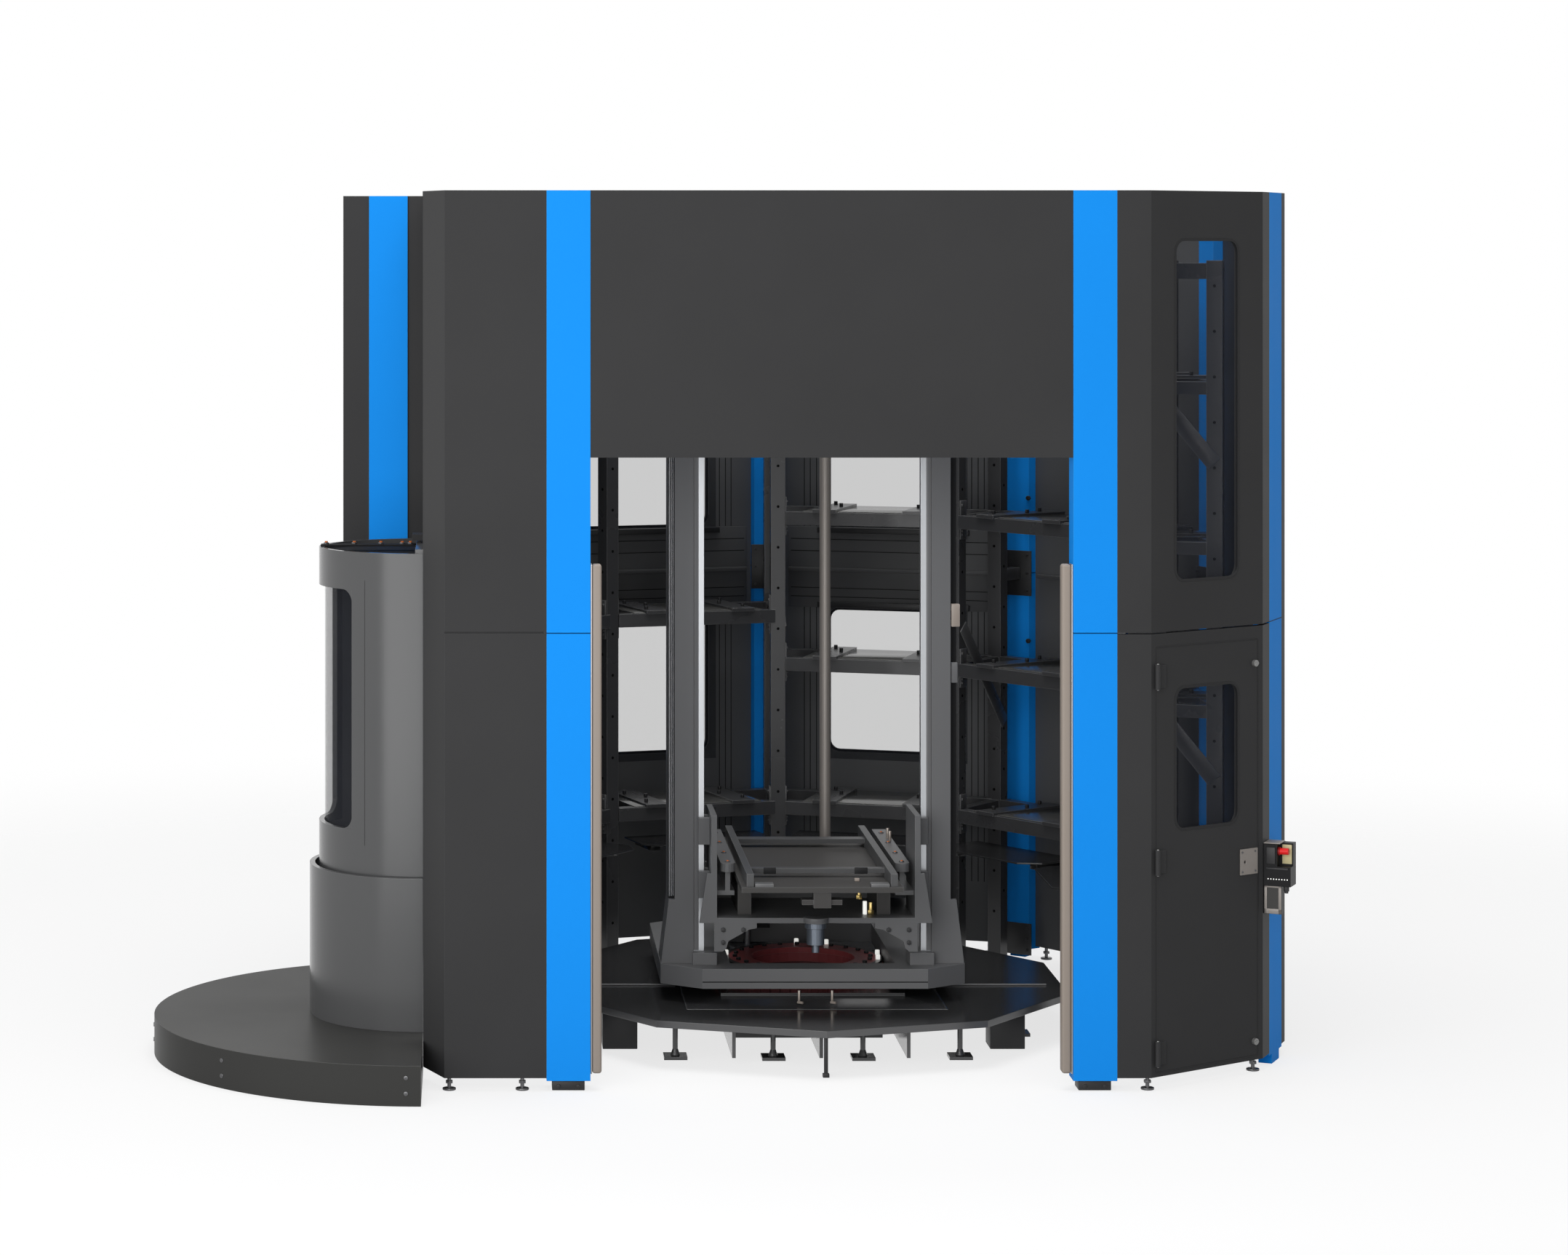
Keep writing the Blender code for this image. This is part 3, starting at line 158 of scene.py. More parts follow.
# The walls, the header and the door frame are folded sheet steel, powder coated in anthracite. The coat
# has a fine orange peel and a faint cloudiness; its folds are painted lighter, partly as wear and partly as a
# painted highlight along the edges.
sheet_nodes = ["front_header_panel", "front_left_panel", "right_upper_panel", "right_door_frame",
               "wall_panel_0", "wall_panel_180", "station_back_panel", "station_header_panel", "service_door"]
sheet_colour = (0.046, 0.046, 0.047)
sheet_fold_highlight = (0.075, 0.076, 0.078)
cloud_scale, cloud_detail = 2.2, 5.0
peel_scale, peel_detail = 900.0, 2.0
peel_height, peel_strength = 0.0004, 0.25
fold_start, fold_full = 0.998, 0.90

coat_grain = bpy.data.node_groups.new("coat_grain", "ShaderNodeTree")
grain_values = ("Cloud", "Roughness", "Roughness Spread", "Peel Scale", "Fold Radius")
for way, kind, names in (("INPUT", "Color", ("Colour", "Worn and Highlight Colour")), ("INPUT", "Float", grain_values),
                         ("OUTPUT", "Color", ("Colour",)), ("OUTPUT", "Float", ("Roughness", "Peel")),
                         ("OUTPUT", "Vector", ("Rounded",))):
    for name in names:
        coat_grain.interface.new_socket(name, in_out=way, socket_type="NodeSocket" + kind)
given = coat_grain.nodes.new("NodeGroupInput")
result = coat_grain.nodes.new("NodeGroupOutput")
spot = add_node(coat_grain, "TexCoord")
clouds = add_node(coat_grain, "TexNoise", values={"Scale": cloud_scale, "Detail": cloud_detail})
centred = add_node(coat_grain, "Math", "SUBTRACT", {1: 0.5})
shade = add_node(coat_grain, "Math", "MULTIPLY_ADD", {2: 1.0})
clouded = add_node(coat_grain, "VectorMath", "SCALE")
rough = add_node(coat_grain, "Math", "MULTIPLY_ADD")
peel = add_node(coat_grain, "TexNoise", values={"Detail": peel_detail})
rounded = add_node(coat_grain, "Bevel")
rounded.samples = 4
facing = add_node(coat_grain, "NewGeometry")
bend = add_node(coat_grain, "VectorMath", "DOT_PRODUCT")
# Where the rounded normal turns away from the face, at folds and edges, the lighter fold colour is mixed in:
# wear and a painted highlight.
fold = add_node(coat_grain, "MapRange", values={"From Min": fold_start, "From Max": fold_full})
worn_and_highlight = add_node(coat_grain, "Mix")
join(coat_grain, (spot, "Object", clouds, "Vector"), (spot, "Object", peel, "Vector"),
     (given, "Peel Scale", peel, "Scale"), (clouds, "Fac", centred, 0), (centred, 0, shade, 0),
     (given, "Cloud", shade, 1), (given, "Colour", clouded, 0), (shade, 0, clouded, "Scale"),
     (centred, 0, rough, 0), (given, "Roughness Spread", rough, 1), (given, "Roughness", rough, 2),
     (given, "Fold Radius", rounded, "Radius"), (rounded, "Normal", bend, 0),
     (facing, "True Normal", bend, 1), (bend, "Value", fold, "Value"), (fold, "Result", worn_and_highlight, "Factor"),
     (clouded, 0, worn_and_highlight, "A"), (given, "Worn and Highlight Colour", worn_and_highlight, "B"), (worn_and_highlight, "Result", result, "Colour"),
     (rough, 0, result, "Roughness"), (peel, "Fac", result, "Peel"), (rounded, "Normal", result, "Rounded"))


def coated(name, colour, worn_and_highlight_colour, roughness, gloss=0.35, cloud=0.25, spread=0.12, fold=0.003,
           metallic=0.0):
    """A coat or bare metal with cloudy colour, orange peel and folds painted lighter, as wear and as a painted
    highlight.
    """
    look = bpy.data.materials.new(name)
    look.use_nodes = True
    tree = look.node_tree
    shader = tree.nodes["Principled BSDF"]
    shader.inputs["Specular IOR Level"].default_value = gloss
    shader.inputs["Metallic"].default_value = metallic
    grain = add_node(tree, "Group")
    grain.node_tree = coat_grain
    for socket, value in (("Colour", (*colour, 1.0)), ("Worn and Highlight Colour", (*worn_and_highlight_colour, 1.0)), ("Cloud", cloud),
                          ("Roughness", roughness), ("Roughness Spread", spread), ("Peel Scale", peel_scale),
                          ("Fold Radius", fold)):
        grain.inputs[socket].default_value = value
    bump = add_node(tree, "Bump", values={"Strength": peel_strength, "Distance": peel_height})
    join(tree, (grain, "Colour", shader, "Base Color"), (grain, "Roughness", shader, "Roughness"),
         (grain, "Peel", bump, "Height"), (grain, "Rounded", bump, "Normal"),
         (bump, "Normal", shader, "Normal"))
    return look


def dress(names, look):
    """Give CAD nodes a finish."""
    for name in names:
        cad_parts[name].material_slots[0].material = look


anthracite = coated("anthracite_sheet", sheet_colour, sheet_fold_highlight, 0.5, gloss=0.06)
dress(sheet_nodes, anthracite)

# The rear walls are the same sheets in a more satin coat. Their inner side is painted lighter: painted light
# that brightens the shaded inside of the tower. The inner side is found by the way its face looks towards the
# tower's middle.
rear_walls = ["wall_panel_36", "wall_panel_72", "wall_panel_108", "wall_panel_144"]
inner_side_painted_light = (0.125, 0.127, 0.130)


def second_coat(look, mask, output, colour):
    """Let a second colour take over where a mask is 1."""
    tree = look.node_tree
    coats = add_node(tree, "Mix", values={"B": (*colour, 1.0)})
    join(tree, (mask, output, coats, "Factor"), (tree.nodes["Group"], "Colour", coats, "A"),
         (coats, "Result", tree.nodes["Principled BSDF"], "Base Color"))


wall_coat = coated("wall_coat", sheet_colour, sheet_fold_highlight, 0.42, gloss=0.12)
tree = wall_coat.node_tree
spot = add_node(tree, "TexCoord")
facing = add_node(tree, "NewGeometry")
outward = add_node(tree, "VectorMath", "DOT_PRODUCT")
inside = add_node(tree, "Math", "LESS_THAN", {1: 0.0})
join(tree, (spot, "Object", outward, 0), (facing, "True Normal", outward, 1), (outward, "Value", inside, 0))
# Faces that look inwards take the lighter colour of painted light.
second_coat(wall_coat, inside, 0, inner_side_painted_light)
dress(rear_walls, wall_coat)

# The corner strips and the two front columns are the same sheet in a bright blue coat. A hairline joint
# between their upper and lower lengths lies level with the seam of the walls.
strip_nodes = ["front_column_left", "front_column_right", "corner_column_right_front", "corner_column_18",
               "corner_column_54", "corner_column_90", "corner_column_126", "corner_column_162",
               "station_back_strip"]
blue_colour = (0.012, 0.31, 0.96)
blue_fold_highlight = (0.06, 0.42, 1.0)
joint_colour = (0.004, 0.06, 0.20)
joint_level, joint_half = 1.6265, 0.0022

blue = coated("blue_strip", blue_colour, blue_fold_highlight, 0.45, gloss=0.015, cloud=0.06)
tree = blue.node_tree
spot = add_node(tree, "TexCoord")
height = add_node(tree, "SeparateXYZ")
on_joint = add_node(tree, "Math", "COMPARE", {1: joint_level, 2: joint_half})
join(tree, (spot, "Object", height, 0), (height, "Z", on_joint, 0))
second_coat(blue, on_joint, 0, joint_colour)
dress(strip_nodes, blue)

# Each blue column stands in a black steel shoe on the floor, which hides its foot.
# The shoe is a folded plate with a rounded rim and two bolt heads at the front.
shoe_colour = (0.014, 0.014, 0.015)
shoe_rim_highlight = (0.05, 0.05, 0.052)
shoe_half, shoe_height = 0.058, 0.034
shoe_front, shoe_back = 0.012, 0.098
bolt_radius, bolt_head = 0.007, 0.006
bolt_side, bolt_level = 0.035, 0.016


def block(low, high, edge=0.002, segments=2):
    """A box between two corners with rounded edges."""
    shape = bmesh.new()
    bmesh.ops.create_cube(shape, size=1.0)
    size = [b - a for a, b in zip(low, high)]
    bmesh.ops.scale(shape, vec=size, verts=shape.verts)
    bmesh.ops.translate(shape, vec=[(a + b) / 2 for a, b in zip(low, high)], verts=shape.verts)
    if edge:
        bmesh.ops.bevel(shape, geom=shape.edges, offset=edge, segments=segments, profile=0.5,
                        affect="EDGES", material=-1, clamp_overlap=True)
    return shape


def rod(start, stop, radius, sides=16, edge=0.0):
    """A round bar between two points, with chamfered ends."""
    start, stop = Vector(start), Vector(stop)
    shape = bmesh.new()
    bmesh.ops.create_cone(shape, cap_ends=True, segments=sides, radius1=radius, radius2=radius,
                          depth=(stop - start).length)
    if edge:
        rims = [e for e in shape.edges if abs(e.verts[0].co.z - e.verts[1].co.z) < 1e-6]
        bmesh.ops.bevel(shape, geom=rims, offset=edge, segments=2, profile=0.5, affect="EDGES", material=-1)
    turn = (stop - start).to_track_quat("Z", "Y").to_matrix().to_4x4()
    bmesh.ops.transform(shape, matrix=Matrix.Translation((start + stop) / 2) @ turn, verts=shape.verts)
    return shape


def gather(shapes, place=None):
    """Put several shapes into one, moved by a matrix if one is given."""
    whole = bmesh.new()
    for shape in shapes:
        if place is not None:
            bmesh.ops.transform(shape, matrix=place, verts=shape.verts)
        scrap = bpy.data.meshes.new("scrap")
        shape.to_mesh(scrap)
        shape.free()
        whole.from_mesh(scrap)
        bpy.data.meshes.remove(scrap)
    return whole


def piece(name, shapes, look, body):
    """Make one finished piece of the shapes, and let it ride on a body."""
    whole = gather(shapes)
    mesh = bpy.data.meshes.new(name)
    bmesh.ops.recalc_face_normals(whole, faces=whole.faces)
    whole.to_mesh(mesh)
    whole.free()
    mesh.shade_smooth()
    mesh.set_sharp_from_angle(angle=math.radians(35))
    mesh.materials.append(look)
    made = bpy.data.objects.new(name, mesh)
    bpy.context.scene.collection.objects.link(made)
    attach(made, body)
    return made


black_steel = coated("black_steel", shoe_colour, shoe_rim_highlight, 0.45)
shoes = []
for name in ("front_column_left", "front_column_right"):
    low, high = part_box(name)
    middle = (low.x + high.x) / 2
    shoes.append(block((middle - shoe_half, low.y + shoe_front, 0.0),
                       (middle + shoe_half, low.y + shoe_back, shoe_height)))
    for side in (-1, 1):
        bolt = Vector((middle + side * bolt_side, low.y + shoe_front, bolt_level))
        shoes.append(rod(bolt, bolt - Vector((0, bolt_head, 0)), bolt_radius, 6, 0.001))
piece("column_shoes", shoes, black_steel, "enclosure")

# A taupe sealing strip stands inside each front column, where the machine's door frame closes against it.
# It is an extruded profile with a hollow bulb, clamped in a thin aluminium rail.
seal_colour = (0.33, 0.28, 0.24)
seal_edge_highlight = (0.42, 0.37, 0.33)
seal_foot, seal_top = 0.06, 1.87
seal_width, seal_depth = 0.040, 0.055
seal_set_back, bulb_set_back = 0.004, 0.006
bulb_round = 0.010
rail_gap, rail_width = 0.0005, 0.006

seal_rubber = coated("seal_rubber", seal_colour, seal_edge_highlight, 0.55, gloss=0.3, cloud=0.12)
seal_rail = coated("seal_rail", (0.30, 0.30, 0.31), (0.5, 0.5, 0.5), 0.35, metallic=0.8)
seals, seal_rails = [], []
for side, name in ((-1, "front_column_left"), (1, "front_column_right")):
    low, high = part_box(name)
    inner = low.x if side > 0 else high.x
    front, back = low.y + seal_set_back, low.y + seal_set_back + seal_depth
    x0, x1 = sorted((inner - side * rail_gap, inner - side * rail_width))
    seal_rails.append(block((x0, front, seal_foot), (x1, back, seal_top), 0.001))
    x0, x1 = sorted((inner - side * rail_width, inner - side * seal_width))
    seals.append(block((x0, low.y + bulb_set_back, seal_foot), (x1, back, seal_top), bulb_round, 4))
piece("docking_seals", seals, seal_rubber, "enclosure")
piece("seal_rails", seal_rails, seal_rail, "enclosure")

# Inside, a folded rib runs round the rear walls at the height of their seam. Between the two windows of a
# wall a screwed sheet with pressed lines and turned-in flanges covers the pane. Beside them are upright folds.
# The pressed lines and the upright folds are thin dark strips: painted shade in their creases.
rib_box = ((-0.46, -1.7195, 1.606), (0.46, -1.700, 1.623))
middle_box = ((-0.46, -1.7155, 1.452), (0.46, -1.7115, 1.798))
flange = {"half": 0.33, "y": (-1.7115, -1.692), "feet": (1.452, 1.773), "height": 0.025}
level_line = {"half": 0.45, "y": (-1.7116, -1.7112), "levels": (1.497, 1.535, 1.694, 1.745)}
upright_line = {"x": (0.338, 0.366, 0.392), "y": (-1.7198, -1.7193), "lengths": ((0.30, 1.45), (1.80, 3.05))}
line_half = 0.0016


def turned(angle):
    """A turn about the tower's axis, in degrees."""
    return Matrix.Rotation(math.radians(angle), 4, "Z")


inner_sheet = coated("inner_sheet", (0.090, 0.091, 0.093), (0.16, 0.16, 0.16), 0.4, gloss=0.15)
crease_painted_shade = coated("pressed_line_shade", (0.012, 0.012, 0.012), (0.02, 0.02, 0.02), 0.7, gloss=0.05)
middle_sheets, flanges, pressed_line_shades, wall_ribs = [], [], [], []
for wall_angle in (36, 72, 108, 144):
    wall_place = turned(wall_angle + 90)
    wall_ribs.append(gather([block(*rib_box)], wall_place))
    if wall_angle in (72, 108):
        middle_sheets.append(gather([block(*middle_box, 0.001)], wall_place))
        half, (y0, y1) = flange["half"], flange["y"]
        lips = [block((-half, y0, z), (half, y1, z + flange["height"])) for z in flange["feet"]]
        flanges.append(gather(lips, wall_place))
        half, (y0, y1) = level_line["half"], level_line["y"]
        lines = [block((-half, y0, z - line_half), (half, y1, z + line_half), 0.0)
                 for z in level_line["levels"]]
        y0, y1 = upright_line["y"]
        for x in upright_line["x"]:
            for middle in (-x, x):
                lines += [block((middle - line_half, y0, foot), (middle + line_half, y1, top), 0.0)
                          for foot, top in upright_line["lengths"]]
        pressed_line_shades.append(gather(lines, wall_place))
piece("wall_ribs", wall_ribs, inner_sheet, "enclosure")
piece("window_middle_sheets", middle_sheets, inner_sheet, "enclosure")
piece("window_flanges", flanges, black_steel, "enclosure")
piece("pressed_line_shades", pressed_line_shades, crease_painted_shade, "enclosure")

# The panes are clear sheet plastic, faintly blue, screwed behind the openings and held in rubber edging.
# They take a quarter of the light at each face and carry a little haze.
pane_nodes = ["right_upper_pane", "wall_pane_72", "wall_pane_108", "station_door_pane", "service_door_pane"]
pane_tint = (0.022, 0.024, 0.032, 1.0)
pane_haze = (0.040, 0.043, 0.055, 1.0)
pane_cover = 0.23
haze_scale, haze_detail = 6.0, 4.0
edging_colour = (0.010, 0.010, 0.011)
edging_width, edging_depth = 0.010, 0.012
window_radius = 0.05
facet_corner, facet_turn = (1.134, -1.215, 0.0), 36
facet_y = -0.001
facet_window = (0.118, 0.454, 1.80, 3.03)
service_window = (0.118, 0.454, 0.91, 1.43)
door_gap = (0.0225, 0.5535, 0.0585, 1.5775)
# The dark strip round the service door's gap is painted shade in the gap, drawn as a thin rubber edging.
door_gap_shade = {"outer_y": -0.0009, "depth": 0.0012, "radius": 0.008, "width": 0.0055}
rear_windows = ((-0.29, 0.29, 1.80, 3.03), (-0.29, 0.29, 0.83, 1.45))
rear_y = -1.746

pane_look = bpy.data.materials.new("clear_pane")
pane_look.use_nodes = True
tree = pane_look.node_tree
shader = tree.nodes["Principled BSDF"]
shader.inputs["Alpha"].default_value = pane_cover
shader.inputs["Specular IOR Level"].default_value = 0.03
shader.inputs["Roughness"].default_value = 0.2
spot = add_node(tree, "TexCoord")
smear = add_node(tree, "TexNoise", values={"Scale": haze_scale, "Detail": haze_detail})
smeared = add_node(tree, "Mix", values={"A": pane_tint, "B": pane_haze})
join(tree, (spot, "Object", smear, "Vector"), (smear, "Fac", smeared, "Factor"),
     (smeared, "Result", shader, "Base Color"))
dress(pane_nodes, pane_look)


def edging(x0, x1, z0, z1, outer_y, depth=edging_depth, radius=window_radius, width=edging_width):
    """A rubber edging round an upright opening with rounded corners, standing in the XZ plane."""
    shape = bmesh.new()
    bmesh.ops.create_grid(shape, x_segments=1, y_segments=1, size=0.5)
    bmesh.ops.scale(shape, vec=(x1 - x0, z1 - z0, 1), verts=shape.verts)
    bmesh.ops.bevel(shape, geom=shape.verts, offset=radius, segments=6, profile=0.5, affect="VERTICES",
                    material=-1)
    rim = bmesh.ops.inset_region(shape, faces=shape.faces, thickness=width, depth=0.0,
                                 use_boundary=True, use_even_offset=True)["faces"]
    bmesh.ops.delete(shape, geom=[f for f in shape.faces if f not in rim], context="FACES")
    drawn = bmesh.ops.extrude_face_region(shape, geom=list(shape.faces))
    lifted = [v for v in drawn["geom"] if isinstance(v, bmesh.types.BMVert)]
    bmesh.ops.translate(shape, vec=(0, 0, depth), verts=lifted)
    stand = Matrix.Translation(((x0 + x1) / 2, outer_y, (z0 + z1) / 2))
    bmesh.ops.transform(shape, matrix=stand @ Matrix.Rotation(-math.pi / 2, 4, "X"), verts=shape.verts)
    return shape


rubber = coated("window_rubber", edging_colour, (0.03, 0.03, 0.03), 0.6, gloss=0.25)
facet_place = Matrix.Translation(facet_corner) @ turned(facet_turn)
# The strip of painted shade in the service door's gap goes with the window edgings.
edgings = [gather([edging(*facet_window, facet_y), edging(*door_gap, **door_gap_shade)], facet_place)]
for wall_angle in (72, 108):
    edgings.append(gather([edging(*window, rear_y) for window in rear_windows], turned(wall_angle + 90)))
piece("window_edgings", edgings, rubber, "enclosure")
door_edging = gather([edging(*service_window, facet_y)], facet_place)
piece("door_edging", [door_edging], rubber, "service_door")

# The round pallet station is a satin grey sheet cylinder: a fixed lower wall and a turning door with a
# window, which hangs from a dark lid and a screwed cross bar. Welded-in gussets round the window's corners.
station_axis = Vector((-1.457, -0.455, 0.0))
lower_wall_radius, lower_wall_levels = 0.43, (0.1423, 0.70)
door_radius, door_wall, door_levels = 0.395, 0.02, (0.68, 1.88)
station_window = {"angles": (153, 228), "levels": (0.86, 1.74)}
gusset_radius, gusset_steps, gusset_inset = 0.05, 7, 0.001
yoke_half, yoke_reach, yoke_levels = 0.03, 0.376, (1.868, 1.895)
seam_angle, seam_half, seam_levels = 237, 0.0012, (0.807, 1.777)
plate_thickness = 0.006
lid_radius, lid_level = 0.3735, 1.856
bar_x, bar_half, bar_level = (-1.846, -1.489), 0.03, 1.8805
bar_screw_x, bar_screw_y = (-1.825, -1.72, -1.62, -1.54, -1.51), -0.012
screw_radius, screw_height = 0.010, 0.007
tip_radius, tip_height = 0.006, 0.005


def around(centre, angle, radius, level):
    """A point on a circle about an upright axis, by its angle in degrees."""
    turn = math.radians(angle)
    return Vector((centre.x + radius * math.cos(turn), centre.y + radius * math.sin(turn), level))


def window_gusset(angle, level, turn_way, rise):
    """One rounded corner of the station window, bent to the door's radius."""
    shape = bmesh.new()
    swing = math.degrees(gusset_radius / door_radius)
    spots = [(angle, level)]
    for step in range(gusset_steps + 1):
        part_turn = math.radians(90 * step / gusset_steps)
        spots.append((angle + turn_way * swing * (1 - math.sin(part_turn)),
                      level + rise * gusset_radius * (1 - math.cos(part_turn))))
    inner_radius = door_radius - door_wall + gusset_inset
    verts = [shape.verts.new(around(station_axis, turn, inner_radius, height)) for turn, height in spots]
    web = shape.faces.new(verts)
    drawn = bmesh.ops.extrude_face_region(shape, geom=[web])
    for vert in [v for v in drawn["geom"] if isinstance(v, bmesh.types.BMVert)]:
        outward = vert.co - station_axis
        outward.z = 0.0
        vert.co += outward.normalized() * (door_wall - 2 * gusset_inset)
    return shape


def sawn(shape, spot, outward):
    """The shape cut off along a plane, with the cut closed."""
    cut = bmesh.ops.bisect_plane(shape, geom=shape.verts[:] + shape.edges[:] + shape.faces[:],
                                 plane_co=spot, plane_no=outward, clear_outer=True)
    rim = [e for e in cut["geom_cut"] if isinstance(e, bmesh.types.BMEdge)]
    bmesh.ops.edgeloop_fill(shape, edges=rim)
    return shape


def half_disc(centre, radius, foot, top):
    """A half-round plate on the left side of an upright axis."""
    shape = bmesh.new()
    bmesh.ops.create_cone(shape, cap_ends=True, segments=180, radius1=radius, radius2=radius,
                          depth=top - foot)
    bmesh.ops.translate(shape, vec=(centre.x, centre.y, (foot + top) / 2), verts=shape.verts)
    return sawn(shape, centre, (1, 0, 0))


def curved_wall(radius, angles, levels):
    """A stretch of the station's round sheet wall between two angles in degrees."""
    shape = bmesh.new()
    inner = around(station_axis, angles[0], radius - door_wall, 0.0)
    outer = around(station_axis, angles[0], radius, 0.0)
    corners = [shape.verts.new((spot.x, spot.y, z)) for spot, z in ((inner, levels[0]), (outer, levels[0]),
                                                                   (outer, levels[1]), (inner, levels[1]))]
    rim = [shape.edges.new((corners[i - 1], corners[i])) for i in range(4)]
    sweep = angles[1] - angles[0]
    bmesh.ops.spin(shape, geom=corners + rim, cent=station_axis, axis=(0, 0, 1), angle=math.radians(sweep),
                   steps=max(8, round(sweep / 2)))
    bmesh.ops.holes_fill(shape, edges=[e for e in shape.edges if e.is_boundary])
    return shape


def stud(foot, height, radius, sides=8, edge=0.001):
    """An upright pin or screw head that stands on a point."""
    foot = Vector(foot)
    return rod(foot, foot + Vector((0, 0, height)), radius, sides, edge)


station_paint = coated("station_grey", (0.092, 0.093, 0.095), (0.15, 0.15, 0.15), 0.15, gloss=0.34,
                       cloud=0.05, spread=0.03)
dark_sheet = coated("dark_sheet", (0.018, 0.018, 0.019), (0.04, 0.04, 0.04), 0.7, gloss=0.05)
seam_grey = coated("seam_grey", (0.065, 0.065, 0.066), (0.07, 0.07, 0.07), 0.5, gloss=0.1)
screw_steel = coated("screw_steel", (0.10, 0.10, 0.105), (0.3, 0.3, 0.3), 0.35, metallic=0.7, fold=0.001)
screw_orange = coated("screw_orange", (0.60, 0.13, 0.02), (0.7, 0.3, 0.1), 0.5, gloss=0.2, fold=0.001)
lower_sheet = curved_wall(lower_wall_radius, (90, 270), lower_wall_levels)
lower_wall = piece("station_lower_wall_smooth", [lower_sheet], station_paint, "enclosure")
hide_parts("station_lower_wall")
window_start, window_stop = station_window["angles"]
door_walls = [curved_wall(door_radius, (90, window_start), door_levels)]
for levels in ((door_levels[0], station_window["levels"][0]), (station_window["levels"][1], door_levels[1])):
    door_walls.append(curved_wall(door_radius, (window_start, window_stop), levels))
door_walls.append(curved_wall(door_radius, (window_stop, 270), door_levels))
door_walls.append(block((station_axis.x - yoke_half, station_axis.y - yoke_reach, yoke_levels[0]),
                        (station_axis.x + yoke_half, station_axis.y + yoke_reach, yoke_levels[1])))
round_door = piece("station_door_smooth", door_walls, station_paint, "station_door")
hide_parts("station_door")
gussets = []
for angle, turn_way in zip(station_window["angles"], (1, -1)):
    for level, rise in zip(station_window["levels"], (1, -1)):
        gussets.append(window_gusset(angle, level, turn_way, rise))
piece("station_window_gussets", gussets, station_paint, "station_door")
door_seam = block((door_radius - 0.001, -seam_half, seam_levels[0]),
                  (door_radius + 0.0005, seam_half, seam_levels[1]), 0.0)
door_seam = gather([door_seam], Matrix.Translation(station_axis) @ turned(seam_angle))
piece("station_door_seam", [door_seam], seam_grey, "station_door")
lid = half_disc(station_axis, lid_radius, lid_level, lid_level + plate_thickness)
piece("station_lid", [lid], dark_sheet, "station_door")
bar_top = bar_level + plate_thickness
cross_bar = block((bar_x[0], station_axis.y - bar_half, bar_level),
                  (bar_x[1], station_axis.y + bar_half, bar_top))
piece("station_cross_bar", [cross_bar], dark_sheet, "station_door")
bar_feet = [(x, station_axis.y + bar_screw_y, bar_top) for x in bar_screw_x]
bar_screws = [stud(foot, screw_height, screw_radius) for foot in bar_feet]
bar_tips = [stud((x, y, z + screw_height), tip_height, tip_radius) for x, y, z in bar_feet]
piece("cross_bar_screws", bar_screws, screw_steel, "station_door")
piece("cross_bar_screw_tips", bar_tips, screw_orange, "station_door")

# The step round the station is folded from plate, with its skirt held by pairs of dome screws. Its folds,
# such as the thin one along the top edge, are painted bright: a painted highlight.
step_radius, step_top = 1.01, 0.142
back_edge, back_face = -1.7816, 0.1147
skirt_screw_angles = (97, 135, 184, 225, 267)
skirt_screw_levels = (0.045, 0.100)
dome_radius, dome_height = 0.008, 0.003

step_paint = coated("step_plate", (0.056, 0.056, 0.054), (0.17, 0.17, 0.165), 0.34, gloss=0.025, cloud=0.10)
step_front = sawn(half_disc(station_axis, step_radius, 0.0, step_top), (0, back_face, 0), (0, 1, 0))
step_back = sawn(half_disc(station_axis, step_radius, 0.0, step_top), (0, back_face, 0), (0, -1, 0))
step_back = sawn(step_back, (back_edge, 0, 0), (1, 0, 0))
step_plate = piece("station_step", [step_front, step_back], step_paint, "enclosure")
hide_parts("station_platform")
skirt_screws = []
for angle in skirt_screw_angles:
    for level in skirt_screw_levels:
        inner = around(station_axis, angle, step_radius - dome_height, level)
        outer = around(station_axis, angle, step_radius + dome_height, level)
        skirt_screws.append(rod(inner, outer, dome_radius, 12, 0.0015))
piece("skirt_screws", skirt_screws, screw_steel, "enclosure")

# Levelling feet, a steel plate and a threaded stem each, carry the wall panels a hand's breadth off the
# floor. They stand just behind the sheets, two under each wall.
foot_plate_radius, foot_plate_height = 0.024, 0.008
stem_radius, stem_top = 0.007, 0.047
nut_radius, nut_height, nut_level = 0.014, 0.010, 0.024
front_foot_x, front_foot_y = (-1.36, -1.10), -1.19
facet_foot_x, facet_foot_y = (0.012, 0.556), 0.03
wall_foot_x, wall_foot_y = (-0.42, 0.42), -1.72

foot_spots = [Vector((x, front_foot_y, 0.0)) for x in front_foot_x]
foot_spots += [facet_place @ Vector((x, facet_foot_y, 0.0)) for x in facet_foot_x]
for wall_angle in (36, 72, 108, 144):
    foot_spots += [turned(wall_angle + 90) @ Vector((x, wall_foot_y, 0.0)) for x in wall_foot_x]
foot_parts = []
for spot in foot_spots:
    foot_parts.append(stud(spot, foot_plate_height, foot_plate_radius, 20, 0.002))
    stem_foot = spot + Vector((0, 0, foot_plate_height))
    foot_parts.append(stud(stem_foot, stem_top - foot_plate_height, stem_radius, 12, 0.0))
    foot_parts.append(stud(spot + Vector((0, 0, nut_level)), nut_height, nut_radius, 6))
piece("levelling_feet", foot_parts, screw_steel, "enclosure")

